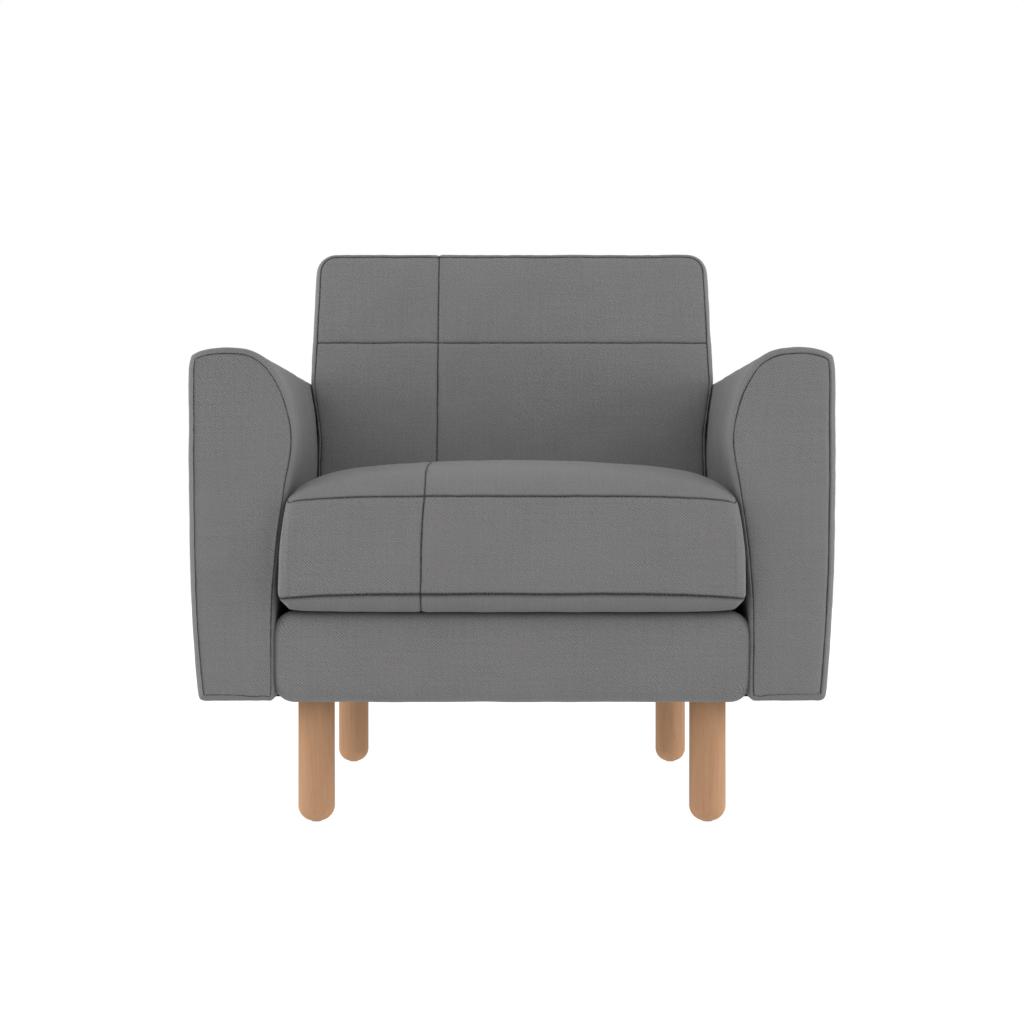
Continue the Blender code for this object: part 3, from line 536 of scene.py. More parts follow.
# %% The seat cushion
CUSHION_STITCH, BOXING = -0.1152, 0.2860      # x of the stitched line, and of the border's upright seams
SEAM_TOP, SEAM_LOW, CROWN = 0.4380, 0.3130, 0.0475
RISE, LOW_RISE = 0.022, 0.0065                # how soon the top and the bottom panel leave their seams
DRAWN_IN, PUSHED_OUT = 0.0072, 0.0055         # how far the top seam goes in, and the front border out
SAG = 0.0042                                  # how far the bottom panel hangs over the deck's front
zip_low, zip_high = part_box("zip_tape")


def fullness(share, half):
    """How full the cushion is, from 0 at its edge to 1 at the middle, for a place from -1 to 1."""
    edge, middle = (1 - abs(share)) * half, half
    return 0.6 * (1 - math.exp(-edge / RISE)) + 0.4 * (1 - (1 - min(1.0, edge / middle)) ** 2)


def make_cushion():
    half_x = cushion_high.x + 0.0048
    low_y, high_y = cushion_low.y, cushion_high.y
    half_y, mid_y = (high_y - low_y) / 2, (high_y + low_y) / 2
    xs = loops_between(-half_x, half_x, [-BOXING, CUSHION_STITCH, BOXING])
    ys, zs = loops_between(-half_y, half_y), loops_between(0.0, SEAM_TOP - SEAM_LOW)
    nx, ny, nz = len(xs) - 1, len(ys) - 1, len(zs) - 1
    bm = grid_box((nx, ny, nz))
    mark = bm.verts.layers.float["seam"]
    index = {}
    for vert in bm.verts:
        i, j, k = index[vert] = tuple(round(c) for c in vert.co)
        p, q, t = xs[i] / half_x, ys[j] / half_y, zs[k] / zs[-1]
        drawn = DRAWN_IN * max(0.0, 2 * t - 1) ** 2
        reach, ends = half_x - drawn, half_y - 0.85 * drawn
        x, y = round_corner(p * reach, q * ends, reach, ends, 0.010 + 0.012 * t)
        y -= PUSHED_OUT * max(0.0, -q) ** 6       # the front border comes out over the chair's own
        if k < nz:
            x -= 0.0018 * (1 - t) * math.exp(-((x - CUSHION_STITCH) / 0.06) ** 2)
        droop = 0.0045 * (abs(p) ** 5 + abs(q) ** 9) + 0.0030 * (p * q) ** 6
        top, low = SEAM_TOP - droop, SEAM_LOW - 0.9 * droop
        z = low + (top - low) * t
        if k == nz:
            z = top + (CROWN + droop) * fullness(p, half_x) * fullness(q, half_y)
        elif k == 0:
            edge = min((1 - abs(p)) * half_x, (1 - abs(q)) * half_y)
            sag = SAG * ease((0.040 - (1 + q) * half_y) / 0.018) * (1 - abs(p) ** 8)
            z = low - (low - cushion_low.z + sag) * (1 - math.exp(-edge / LOW_RISE))
        rim = k in (0, nz) and (i in (0, nx) or j in (0, ny))
        stitched = xs[i] == CUSHION_STITCH and k + j > 0
        boxing = abs(xs[i]) == BOXING and j in (0, ny) and 0 < k < nz
        vert[mark] = 1.0 if rim or stitched else 0.20 if boxing else 0.0
        if j == ny:      # room for the zip across the rear border
            band = ease((0.0170 - abs(z - (zip_low.z + zip_high.z) / 2)) / 0.004)
            y -= 0.0034 * band * ease((zip_high.x + 0.006 - abs(x)) / 0.005)
        if z > BASE_TOP + 0.01:
            x = math.copysign(min(abs(x), wall_at(z) - 0.0007), x)
        vert.co = (x, mid_y + y, z)

    def place_of(panel, step, co):
        """The top and bottom panels are measured along their curve, front to back."""
        flat = SEAM_TOP + CROWN if step[2] else cushion_low.z
        climb = (co.z - flat) * (1 if co.y < mid_y else -1)
        return {0: (co.y, co.z), 1: (co.x, co.z), 2: (co.x, climb + (co.y if step[2] else -co.y))}[panel]

    lay_map(bm, index, lambda axis, step: axis, place_of)
    return padded_piece("seat_cushion", bm, "seat_cushion", ["seat_cushion_cover", "seat_cushion_core"])


cushion = make_cushion()

# %% [markdown]
# The front border: a soft bar between the arms' feet. Its cloth is pulled smooth over a strip of foam and
# turned over the rail, with no seam in it.

# %% The front border
BORDER_EDGE = rounding(0.0175, 0.0, 5)
BORDER_DEPTH = 0.0515
RETURN_LOOPS, RETURN_STEP = 6, 0.0064        # loops behind the rounded edge, and the cloth between them


def make_border():
    half, low = SEAT_SIDE + 0.0060, UNDERSIDE - 0.0030
    across, up = 62, 13
    rounded = len(BORDER_EDGE)
    xs, zs = spread(-half, half, across), spread(low, BASE_TOP, up)
    middle, tall = (low + BASE_TOP) / 2, (BASE_TOP - low) / 2
    bm = grid_box((across, rounded - 1 + RETURN_LOOPS, up))
    index = {}
    for vert in bm.verts:
        i, j, k = index[vert] = tuple(round(c) for c in vert.co)
        u, v = xs[i] / half, (zs[k] - middle) / tall
        inset, into = BORDER_EDGE[min(j, rounded - 1)]
        if j >= rounded:
            into += (BORDER_DEPTH - into) * (j - rounded + 1) / RETURN_LOOPS
        reach, top = half - 0.6 * inset, tall - inset
        reach -= 0.0042 * abs(v) ** 3
        x, z = round_corner(u * reach, v * top, reach, top, 0.022 - 0.4 * inset)
        bow = (1 - u ** 6) * (1 - v ** 4)
        y = border_low.y + into - (0.0030 * bow if j == 0 else 0.0)
        vert.co = (x, y, middle + z)

    run = [0.0]
    for a, b in zip(BORDER_EDGE, BORDER_EDGE[1:]):
        run.append(run[-1] + math.dist(a, b))
    run += [run[-1] + RETURN_STEP * n for n in range(1, RETURN_LOOPS + 1)]

    def place_of(panel, step, co):
        turned = run[step[1]] - BORDER_EDGE[0][0]
        return {0: (math.copysign(half + turned, co.x), co.z), 1: (co.x, co.z),
                2: (co.x, math.copysign(tall + turned, co.z - middle) + middle)}[panel]

    lay_map(bm, index, lambda axis, step: axis, place_of)
    nodes = ["front_border_cover", "front_border_pad"]
    return padded_piece("front_border", bm, "chair", nodes, settles=False)


border = make_border()

# %% [markdown]
# Sheets of cloth. Three are stretched flat over the frame: the deck under the cushion, the outer panel
# behind the back, and the thin black cloth that closes the underside. Each is a grid pulled to its outline,
# slack by a millimetre or two between what holds it, and given its thickness by Solidify.

# %% A stretched sheet
def cloth_sheet(name, bm, nodes, slot, thickness, levels=1, **facts):
    mesh = bpy.data.meshes.new(name)
    bm.to_mesh(mesh)
    bm.free()
    mesh.shade_smooth()
    sheet = bpy.data.objects.new(name, mesh)
    bpy.context.scene.collection.objects.link(sheet)
    solid = sheet.modifiers.new("thickness", "SOLIDIFY")
    solid.thickness, solid.offset = thickness, -1.0
    if levels:
        smoother = sheet.modifiers.new("smoother", "SUBSURF")
        smoother.levels = smoother.render_levels = levels
    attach(sheet, "chair")
    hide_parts(*nodes)
    return sheet


def grid_sheet(columns, rows):
    """A flat grid from (0, 0) to (1, 1), facing up."""
    bm = bmesh.new()
    bm.loops.layers.uv.new("cloth")
    bmesh.ops.create_grid(bm, x_segments=columns, y_segments=rows, size=0.5)
    bmesh.ops.translate(bm, verts=bm.verts, vec=(0.5, 0.5, 0.0))
    return bm


def lay_flat_map(bm, axes=(0, 1)):
    """The map of a sheet: its own two axes, in metres."""
    layer = bm.loops.layers.uv["cloth"]
    for face in bm.faces:
        for loop in face.loops:
            loop[layer].uv = [loop.vert.co[axis] for axis in axes]


sample = grid_sheet(4, 3)
print("a grid of 4 by 3 cells has", len(sample.faces), "faces")
sample.free()

# %% [markdown]
# The outer panel closes the rear of the back, and is usually sewn on last, by hand. It is drawn as one grid
# on the raked rear plane with round top corners. It stands a few millimetres proud of its seam, as cloth
# over wadding does.

# %% The outer panel behind the back
def make_outer_panel():
    bm = grid_sheet(64, 66)
    seam, low, top = 0.0036, UNDERSIDE, BACK_TOP - 0.0040
    for vert in bm.verts:
        a, b = 2 * vert.co.x - 1, vert.co.y
        z = low + (top - low) * b
        reach = back_half(z) - seam + 0.0048 * ease((0.56 - z) / 0.06)
        x = a * reach
        if b > 0.5:
            x, z = round_corner(x, z - low, reach, top - low, 0.027)
            z += low
        edge = min((1 - abs(a)) * reach, (1 - b) * (top - low), b * (top - low) + 0.004)
        y = rear_face(z) - 0.0030 + 0.0045 * (1 - math.exp(-edge / 0.010))
        y += 0.0005 * noise.noise(Vector((x, z, 3.0)) * 14.0)
        vert.co = (x, y, z)
    bmesh.ops.recalc_face_normals(bm, faces=bm.faces)
    if sum(f.normal.y for f in bm.faces) < 0:
        bmesh.ops.reverse_faces(bm, faces=bm.faces)
    lay_flat_map(bm, axes=(0, 2))
    area = sum(face.calc_area() for face in bm.faces)
    width, length = 2 * (back_half(0.8) - seam), (top - low) * 1.006
    print("outer panel", round(width, 4), "x", round(length, 4), "area", round(area, 4))
    return cloth_sheet("back_outer_cloth", bm, ["back_outer_panel"], "cover_cloth", 0.0024,
                       flat=(width, length), held="stretched", area=min(area, width * length),
                       rests_on=["back_top_rail", "rear_rail", "left_back_post", "right_back_post"])


outer_cloth = make_outer_panel()

# %% [markdown]
# The deck is the plain cloth that the cushion lies on. It is tacked to the rails and carried by the five
# springs, so it dips a little between them. The dip is a formula of the distance to the nearest spring.

# %% The deck under the cushion
def middle_of(node):
    """The centre of a solid's box."""
    low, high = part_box(node)
    return (low + high) / 2


def make_deck():
    low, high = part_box("seat_deck")
    springs = [middle_of(f"seat_spring_{n}").x for n in range(1, 6)]
    bm = grid_sheet(60, 56)
    for vert in bm.verts:
        x = low.x + (high.x - low.x) * vert.co.x
        y = low.y + (high.y - low.y) * vert.co.y
        held = max(math.exp(-((x - s) / 0.030) ** 2) for s in springs)
        inside = min(1.0, 6 * min(vert.co.x, 1 - vert.co.x, vert.co.y, 1 - vert.co.y))
        vert.co = (x, y, high.z - 0.0002 - 0.0016 * ease(inside) * (1 - held))
    lay_flat_map(bm)
    print("deck", round(high.x - low.x, 4), "x", round(high.y - low.y, 4))
    return cloth_sheet("deck_cloth", bm, ["seat_deck"], "black_cambric", 0.0012,
                       flat=(high.x - low.x, high.y - low.y), held="stretched",
                       rests_on=["front_rail", "left_side_rail", "right_side_rail",
                                 *[f"seat_spring_{n}" for n in range(1, 6)]])


deck = make_deck()

# %% [markdown]
# The cloth under the chair keeps dust in and is stapled to the rails and the arms' feet. It is one grid,
# with its front middle part cut away round the front border. It sags by a millimetre, and least near the
# legs, whose bolts pass through it.

# %% The cloth under the chair
FRONT_TURN = 0.0120                  # how far the front edge is folded back


def make_dust_cloth():
    low, high = dust_low, dust_high
    bm = grid_sheet(1, 1)
    bmesh.ops.scale(bm, verts=bm.verts, vec=(high.x - low.x, high.y - low.y, 1.0))
    bmesh.ops.translate(bm, verts=bm.verts, vec=(low.x, low.y, high.z))
    notch_x, notch_y = SEAT_SIDE + 0.014, border_high.y + 0.0005
    lines = [((x, 0, 0), (1, 0, 0)) for x in [-notch_x, notch_x, *spread(low.x, high.x, 40)[1:-1]]]
    lines += [((0, y, 0), (0, 1, 0)) for y in [notch_y, *spread(low.y, high.y, 34)[1:-1]]]
    for place, across in lines:
        everything = bm.verts[:] + bm.edges[:] + bm.faces[:]
        bmesh.ops.bisect_plane(bm, geom=everything, plane_co=place, plane_no=across)
    centres = [(face, face.calc_center_median()) for face in bm.faces]
    gone = [face for face, centre in centres if abs(centre.x) < notch_x and centre.y < notch_y]
    bmesh.ops.delete(bm, geom=gone, context="FACES")
    bolts = [middle_of(f"{end}_{side}_leg_bolt") for end in ("front", "rear") for side in ("left", "right")]
    for vert in bm.verts:
        x, y, z = vert.co
        y = max(y, low.y + FRONT_TURN)
        beside_notch = abs(x) > notch_x - 0.001
        edge = min(high.x - abs(x), high.y - y, y - low.y + (0.0 if beside_notch else notch_y - low.y))
        near_leg = max(math.exp(-((Vector((x, y)) - bolt.xy).length / 0.05) ** 2) for bolt in bolts)
        slack = 0.7 + 0.3 * noise.noise(Vector((x, y, 0)) * 9.0)
        vert.co = (x, y, z - 0.0012 * ease(edge / 0.08) * (1 - near_leg) * slack)
    lay_flat_map(bm)
    area = sum(face.calc_area() for face in bm.faces)
    width, length = high.x - low.x, high.y - low.y - FRONT_TURN
    print("underside cloth", round(width, 4), "x", round(length, 4), "area", round(area, 4))
    return cloth_sheet("underside_cloth", bm, ["dust_cover"], "black_cambric", 0.0008, levels=0,
                       flat=(width, length), held="stretched", area=area,
                       rests_on=["front_rail", "rear_rail", "left_side_rail", "right_side_rail"])


underside_cloth = make_dust_cloth()

# %% [markdown]
# The zip on the cushion's rear border: two tapes that meet in a row of moulded teeth. One tooth is a
# bevelled block, and its copies stand on the two tapes in turn.

# %% The zip
TAPE_THICK, TAPE_WIDE = 0.0008, 0.0110
TOOTH, TOOTH_PITCH = (0.0011, 0.0021, 0.0028), 0.0016


def make_zip():
    bm = bmesh.new()
    middle, wide = (zip_low.z + zip_high.z) / 2, zip_high.x - zip_low.x
    tape_face = zip_low.y + 0.0018
    for side in (-1, 1):
        made = bmesh.ops.create_cube(bm, size=1.0)["verts"]
        bmesh.ops.scale(bm, verts=made, vec=(wide, TAPE_THICK, TAPE_WIDE))
        bmesh.ops.translate(bm, verts=made, vec=(0.0, tape_face - 0.0006, middle + side * 0.0057))
    block = bmesh.new()
    bmesh.ops.create_cube(block, size=1.0)
    bmesh.ops.scale(block, verts=block.verts, vec=TOOTH)
    bmesh.ops.bevel(block, geom=block.edges[:], offset=0.0003, segments=1, profile=0.5, affect="EDGES",
                    material=-1)
    tooth = bpy.data.meshes.new("tooth")
    block.to_mesh(tooth)
    block.free()
    count = int((wide - 0.010) / TOOTH_PITCH)
    for n in range(count):
        bm.from_mesh(tooth)
        bm.verts.ensure_lookup_table()
        height = middle + (0.0008 if n % 2 else -0.0008)
        place = Vector((-wide / 2 + 0.005 + TOOTH_PITCH * n, tape_face + 0.0002, height))
        bmesh.ops.translate(bm, verts=bm.verts[-len(tooth.vertices):], vec=place)
    mesh = bpy.data.meshes.new("zip_teeth")
    bm.to_mesh(mesh)
    bm.free()
    piece = bpy.data.objects.new("zip_tape_and_teeth", mesh)
    bpy.context.scene.collection.objects.link(piece)
    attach(piece, "seat_cushion")
    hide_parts("zip_tape")
    print("zip with", count, "teeth")
    return piece


zip_piece = make_zip()

# %% [markdown]
# The legs: beech turned on a lathe, straight, with a round end that is bored for the glide. A lathe is
# copied by spinning half a section about the leg's own axis, so every leg is exactly round.

# %% Turn the legs
GROUND = 0.0006                      # the wood ends this far above the floor, which only the glides touch


def make_leg(node):
    low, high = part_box(node)
    glide_low, glide_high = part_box(node.replace("_leg", "_glide"))
    centre = (low + high) / 2
    radius = (high.x - low.x) / 2 + 0.0001
    end = radius - 0.0034                # radius of the round end, round a small flat
    profile = [(0.0, high.z), (radius - 0.0020, high.z), (radius - 0.0006, high.z - 0.0006),
               (radius, high.z - 0.0020)]
    profile += [(radius, GROUND + end + (high.z - GROUND - end) * t) for t in (0.75, 0.5, 0.25)]
    seat = (glide_high.x - glide_low.x) / 2 + 0.0006
    for angle in spread(0.0, math.degrees(math.acos((seat - radius + end) / end)), 12):
        a = math.radians(angle)
        profile.append((radius - end + end * math.cos(a), GROUND + end * (1 - math.sin(a))))
    profile += [(seat, low.z), (0.0, low.z)]
    bm = bmesh.new()
    verts = [bm.verts.new((centre.x + r, centre.y, z)) for r, z in profile]
    edges = [bm.edges.new(pair) for pair in zip(verts, verts[1:])]
    bmesh.ops.spin(bm, geom=verts + edges, cent=centre, axis=(0, 0, 1), angle=math.tau, steps=72,
                   use_merge=True, use_duplicate=False)
    bmesh.ops.remove_doubles(bm, verts=bm.verts, dist=0.00001)
    bmesh.ops.recalc_face_normals(bm, faces=bm.faces)
    mesh = bpy.data.meshes.new(node)
    bm.to_mesh(mesh)
    bm.free()
    mesh.shade_smooth()
    mesh.set_sharp_from_angle(angle=math.radians(40))
    leg = bpy.data.objects.new("turned_" + node, mesh)
    bpy.context.scene.collection.objects.link(leg)
    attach(leg, "chair")
    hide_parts(node)
    return leg


legs = [make_leg(f"{end}_{side}_leg") for end in ("front", "rear") for side in ("left", "right")]
print("turned", [leg.name for leg in legs])

# %% [markdown]
# Materials are written as sums and products of signals. A signal is one number or colour on its way through
# a material's nodes, and its arithmetic adds the nodes. Any other node comes from one function.

# %% A signal through a material
class Signal:
    def __init__(self, tree, socket):
        self.tree, self.socket = tree, socket

    def math(self, operation, *terms):
        return node(self.tree, "Math", {"operation": operation}, inputs=(self, *terms))

    def __add__(self, other):
        return self.math("ADD", other)

    def __sub__(self, other):
        return self.math("SUBTRACT", other)

    def __rsub__(self, other):
        return self * -1.0 + other

    def __mul__(self, other):
        return self.math("MULTIPLY", other)

    def __pow__(self, other):
        return self.math("POWER", other)

    __radd__, __rmul__ = __add__, __mul__


def node(tree, kind, settings=None, out=0, inputs=()):
    """Any node: its type, its settings first, then values or signals for its sockets, by number or name."""
    made = tree.nodes.new("ShaderNode" + kind)
    for name, value in (settings or {}).items():
        if name == "stops":
            for stop, (place, colour) in zip(made.color_ramp.elements, value):
                stop.position, stop.color = place, (*colour, 1.0)
        else:
            setattr(made, name, value)
    for key, term in (inputs.items() if isinstance(inputs, dict) else enumerate(inputs)):
        if isinstance(term, Signal):
            tree.links.new(term.socket, made.inputs[key])
        else:
            made.inputs[key].default_value = term
    return Signal(tree, made.outputs[out])


def new_finish(name, **sockets):
    """A material with constants set on its shader's own sockets; returns it, its tree and a feeder."""
    made = bpy.data.materials.new(name)
    made.use_nodes = True
    tree, shader = made.node_tree, made.node_tree.nodes["Principled BSDF"]
    for socket, value in sockets.items():
        shader.inputs[socket.replace("_", " ")].default_value = value

    def feed(**links):
        for socket, signal in links.items():
            tree.links.new(signal.socket, shader.inputs[socket.replace("_", " ")])

    return made, tree, feed


def wave(signal):
    """A sine of a signal counted in turns, from 0 to 1."""
    return (signal * math.tau).math("SINE") * 0.5 + 0.5


def object_place(tree):
    return node(tree, "TexCoord", out=3)


def blend_colours(tree, factor, low, high):
    """Mix two colours, each given as numbers or as a signal."""
    low, high = (colour if isinstance(colour, Signal) else (*colour, 1.0) for colour in (low, high))
    return node(tree, "Mix", {"data_type": "RGBA"}, out=2, inputs={0: factor, 6: low, 7: high})


print("signals can be added, subtracted, multiplied and raised to a power")


# %% [markdown]
# The cover cloth: a hard-wearing grey twill with slanting ribs. Each thread floats over two others and
# steps one across at every row, which draws the ribs. Noise shifts them and breaks them up, because spun
# yarn is never even. The map runs in metres, so the ribs have their real spacing on every piece. Single
# threads are thicker or paler than others, which leaves faint streaks along and across. Along a seam the
# colour is darkened nearly to black, as painted shade for the seam's groove, and the stitches show as paler
# dashes in it.

# %% The cover cloth
RIB, THREAD, STITCH = (0.00394, 0.00350), (0.00131, 0.00117), 0.0046      # spacings, in metres


def make_cover_cloth(name, dark, light):
    made, tree, feed = new_finish(name, Roughness=0.95, Sheen_Weight=0.10, Sheen_Roughness=0.5,
                                  Specular_IOR_Level=0.20)
    uv = node(tree, "TexCoord", out=2)
    split = node(tree, "SeparateXYZ", inputs=(uv,))
    u, v = split, Signal(tree, split.socket.node.outputs[1])
    shift = node(tree, "TexNoise", inputs={"Vector": uv, "Scale": 95.0, "Detail": 2.0}) * 1.1
    rib = wave(u * (1 / RIB[0]) + v * (1 / RIB[1]) + shift)
    warp, weft = wave(u * (1 / THREAD[0])), wave(v * (1 / THREAD[1]))
    fuzz = node(tree, "TexNoise", inputs={"Vector": uv, "Scale": 560.0, "Detail": 2.0, "Roughness": 0.6})
    float_length = node(tree, "TexNoise", inputs={"Vector": uv, "Scale": 330.0, "Detail": 2.0})
    broken = ((float_length - 0.5) * 4.4 + 0.5).math("MAXIMUM", 0.0).math("MINIMUM", 1.0)
    long_way = node(tree, "Mapping", inputs={"Vector": uv, "Scale": (320.0, 9.0, 1.0)})
    cross_way = node(tree, "Mapping", inputs={"Vector": uv, "Scale": (9.0, 320.0, 1.0)})
    streaks = (node(tree, "TexNoise", inputs={"Vector": long_way, "Scale": 1.0, "Detail": 1.0})
               + node(tree, "TexNoise", inputs={"Vector": cross_way, "Scale": 1.0, "Detail": 1.0})) * 0.5
    mottle = node(tree, "TexNoise", inputs={"Vector": object_place(tree), "Scale": 9.0, "Detail": 2.0})
    weave = ((rib - 0.5) * (broken * 0.75 + 0.20) + 0.5 + (rib * warp + (1 - rib) * weft - 0.5) * 0.22
             + (fuzz - 0.5) * 1.10)
    tone = weave * 0.76 + (streaks - 0.5) * 0.24 + (mottle - 0.5) * 0.12 + 0.12
    seam = node(tree, "Attribute", {"attribute_name": "seam"}, out=2)
    stitch = wave((u + v) * (1 / STITCH)) ** 3.0
    # Painted shade: along each seam the colour is darkened towards a fifth of the dark tone, standing in for
    # the shadow in the seam's groove; the stitches lighten it a little.
    groove = (seam * 1.3).math("MINIMUM", 1.0) ** 1.6 * (1.05 - stitch * 0.20 - broken * 0.22)
    plain = blend_colours(tree, tone, dark, light)
    feed(Base_Color=blend_colours(tree, groove, plain, [c * 0.20 for c in dark]))
    feed(Normal=node(tree, "Bump", inputs={"Strength": 0.45, "Distance": 0.0006, "Height": weave}))
    return made


cover_cloth = make_cover_cloth("grey_twill", (0.0690, 0.0675, 0.0682), (0.2320, 0.2268, 0.2286))
covered = [*arms, back, cushion, border, outer_cloth]
for piece in covered:
    piece.data.materials.append(cover_cloth)
print("covered", len(covered), "pieces")

# %% [markdown]
# Wood is grain stretched along its length, with slow bands for the growth rings. The legs are oiled beech,
# whose short dark flecks run with the grain. The frame inside is plain pine.

# %% Wood
def make_wood(name, dark, light, roughness, stretch, flecks):
    made, tree, feed = new_finish(name, Roughness=roughness, Specular_IOR_Level=0.08)
    along = node(tree, "Mapping", inputs={"Vector": object_place(tree), "Scale": stretch})
    bands = node(tree, "TexNoise", inputs={"Vector": along, "Scale": 34.0, "Detail": 3.0, "Distortion": 0.6})
    grain = node(tree, "TexNoise", inputs={"Vector": along, "Scale": 190.0, "Detail": 5.0, "Roughness": 0.65})
    fleck = node(tree, "TexNoise", inputs={"Vector": along, "Scale": 520.0, "Detail": 1.0})
    fleck = (fleck - 0.60).math("MAXIMUM", 0.0) * flecks
    tone = bands * 0.5 + grain * 0.5
    toned = node(tree, "ValToRGB", {"stops": ((0.34, dark), (0.66, light))}, inputs=(tone,))
    feed(Base_Color=blend_colours(tree, fleck, toned, [c * 0.45 for c in dark]))
    feed(Normal=node(tree, "Bump", inputs={"Strength": 0.25, "Distance": 0.0004, "Height": grain}))
    return made


UPRIGHT_GRAIN, LEVEL_GRAIN = (1.0, 1.0, 0.07), (0.12, 1.0, 1.0)
oiled_beech = make_wood("oiled_beech", (0.366, 0.207, 0.117), (0.444, 0.259, 0.147), 0.7, UPRIGHT_GRAIN, 1.2)
pine = make_wood("frame_pine_wood", (0.440, 0.290, 0.150), (0.660, 0.490, 0.300), 0.65, LEVEL_GRAIN, 1.5)
for leg in legs:
    leg.data.materials.append(oiled_beech)
print("woods:", oiled_beech.name, pine.name)

# %% [markdown]
# The finishes inside: open-celled foam, pressed hardboard, zinc plate, woven elastic, black non-woven cloth
# and moulded nylon. Each is a colour with the unevenness that its making leaves.

# %% Foam, board, metal and plastics
def make_grain(name, dark, light, roughness, scale, strength, metallic=0.0, cells=False):
    made, tree, feed = new_finish(name, Roughness=roughness, Metallic=metallic)
    place = object_place(tree)
    if cells:
        speck = node(tree, "TexVoronoi", inputs={"Vector": place, "Scale": scale})
    else:
        speck = node(tree, "TexNoise", inputs={"Vector": place, "Scale": scale, "Detail": 4.0})
    cloud = node(tree, "TexNoise", inputs={"Vector": place, "Scale": 12.0, "Detail": 2.0})
    feed(Base_Color=blend_colours(tree, speck * 0.6 + cloud * 0.4, dark, light))
    feed(Roughness=cloud * 0.12 + (roughness - 0.06))
    feed(Normal=node(tree, "Bump", inputs={"Strength": strength, "Distance": 0.0004, "Height": speck}))
    return made


def make_weave(name, dark, light, pitch):
    made, tree, feed = new_finish(name, Roughness=0.9)
    split = node(tree, "SeparateXYZ", inputs=(object_place(tree),))
    x, y, z = (Signal(tree, split.socket.node.outputs[n]) for n in range(3))
    thread = wave(x * (1 / pitch)) * wave((y + z) * (1 / pitch))
    fuzz = node(tree, "TexNoise", inputs={"Vector": object_place(tree), "Scale": 600.0, "Detail": 2.0})
    tone = thread * 0.6 + fuzz * 0.4
    feed(Base_Color=blend_colours(tree, tone, dark, light))
    feed(Normal=node(tree, "Bump", inputs={"Strength": 0.5, "Distance": 0.0004, "Height": tone}))
    return made


finishes = {
    "cover_cloth": cover_cloth,
    "frame_pine": pine,
    "leg_beech": oiled_beech,
    "foam": make_grain("open_foam", (0.700, 0.620, 0.430), (0.860, 0.800, 0.620), 0.95, 420.0, 0.6,
                       cells=True),
    "hardboard": make_grain("pressed_hardboard", (0.180, 0.100, 0.052), (0.320, 0.200, 0.115), 0.75, 260.0,
                            0.3),
    "zinc_steel": make_grain("zinc_plate", (0.450, 0.465, 0.480), (0.660, 0.665, 0.670), 0.38, 90.0, 0.1,
                             metallic=1.0),
    "black_cambric": make_weave("black_non_woven", (0.012, 0.012, 0.014), (0.040, 0.040, 0.043), 0.0022),
    "elastic_web": make_weave("woven_elastic", (0.050, 0.046, 0.042), (0.140, 0.132, 0.122), 0.0030),
    "nylon": make_grain("moulded_nylon", (0.045, 0.041, 0.037), (0.075, 0.069, 0.063), 0.40, 350.0, 0.1),
    "zip_nylon": make_weave("zip_tape_weave", (0.045, 0.043, 0.041), (0.085, 0.081, 0.077), 0.0011),
    "glide": make_grain("tan_glide", (0.300, 0.170, 0.095), (0.380, 0.225, 0.130), 0.60, 350.0, 0.1),
}
for sheet in (deck, underside_cloth):
    sheet.data.materials.append(finishes["black_cambric"])
zip_piece.data.materials.append(finishes["zip_nylon"])

finished = 0
for part in frame["record"]["subparts"]:
    solid = bpy.data.objects.get(part["node"])
    if solid is not None and not solid.hide_render:
        kind = "glide" if part["node"].endswith("_glide") else part["material_slot"]
        solid.data.materials.clear()
        solid.data.materials.append(finishes[kind])
        finished += 1
print("finished", finished, "solids of the frame")

# %% [markdown]
# The studio: a pale floor that shines a little itself, so that it stays plain, an even light from all
# round, and on each side a high and a level soft light that shape the arms and the cushion. The camera
# stands about level with the seat, two and a half metres in front of the arms.

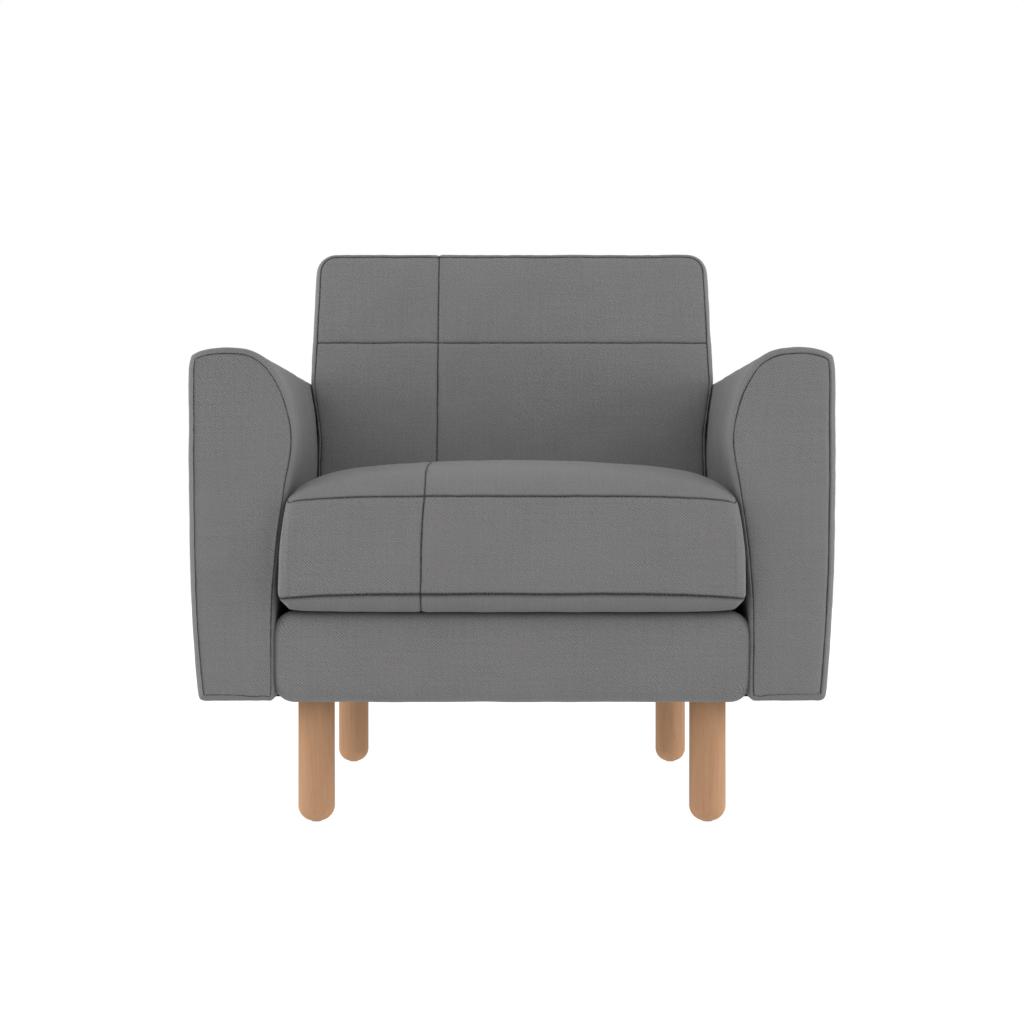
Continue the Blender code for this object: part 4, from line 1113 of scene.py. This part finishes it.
# %% Floor, light and camera
HALF_VIEW, CAMERA_DISTANCE, CAMERA_HEIGHT, CAMERA_TILT = 15.0, 2.469, 0.421, 0.18
scene = bpy.context.scene
scene.view_settings.view_transform = "Standard"
world = bpy.data.worlds.new("studio")
scene.world = world
world.use_nodes = True
world.node_tree.nodes["Background"].inputs[0].default_value = (1.0, 1.0, 1.0, 1.0)
world.node_tree.nodes["Background"].inputs[1].default_value = 1.0

bm = bmesh.new()
bmesh.ops.create_grid(bm, x_segments=1, y_segments=1, size=6.0)
bmesh.ops.translate(bm, verts=bm.verts, vec=(0.0, 0.0, -0.0005))
mesh = bpy.data.meshes.new("floor")
bm.to_mesh(mesh)
bm.free()
floor = bpy.data.objects.new("floor", mesh)
scene.collection.objects.link(floor)
pale_floor = new_finish("pale_floor", Base_Color=(0.10, 0.10, 0.10, 1.0), Roughness=0.9,
                        Emission_Color=(1.0, 1.0, 1.0, 1.0), Emission_Strength=0.95)[0]
floor.data.materials.append(pale_floor)


def soft_light(name, place, aim, size, power):
    light = bpy.data.lights.new(name, "AREA")
    light.shape, light.energy = "RECTANGLE", power
    light.size, light.size_y = size
    lamp = bpy.data.objects.new(name, light)
    scene.collection.objects.link(lamp)
    lamp.location = place
    lamp.rotation_euler = (Vector(aim) - Vector(place)).to_track_quat("-Z", "Y").to_euler()


for side in (-1, 1):
    soft_light("high_light", (2.2 * side, -1.2, 2.0), (-0.2 * side, 0.0, 0.40), (1.2, 1.2), 8.9)
    soft_light("level_light", (2.6 * side, -0.6, 0.75), (-0.3 * side, 0.1, 0.45), (1.2, 1.0), 26.7)

camera_data = bpy.data.cameras.new("camera")
camera_data.sensor_width = 36.0
camera_data.lens = camera_data.sensor_width / 2 / math.tan(math.radians(HALF_VIEW))
camera = bpy.data.objects.new("camera", camera_data)
scene.collection.objects.link(camera)
camera.location = (0.0, FRONT - CAMERA_DISTANCE, CAMERA_HEIGHT)
camera.rotation_euler = (math.radians(90.0 - CAMERA_TILT), 0.0, 0.0)
scene.camera = camera
print("camera at", [round(c, 3) for c in camera.location], "lens", round(camera_data.lens, 2), "mm")
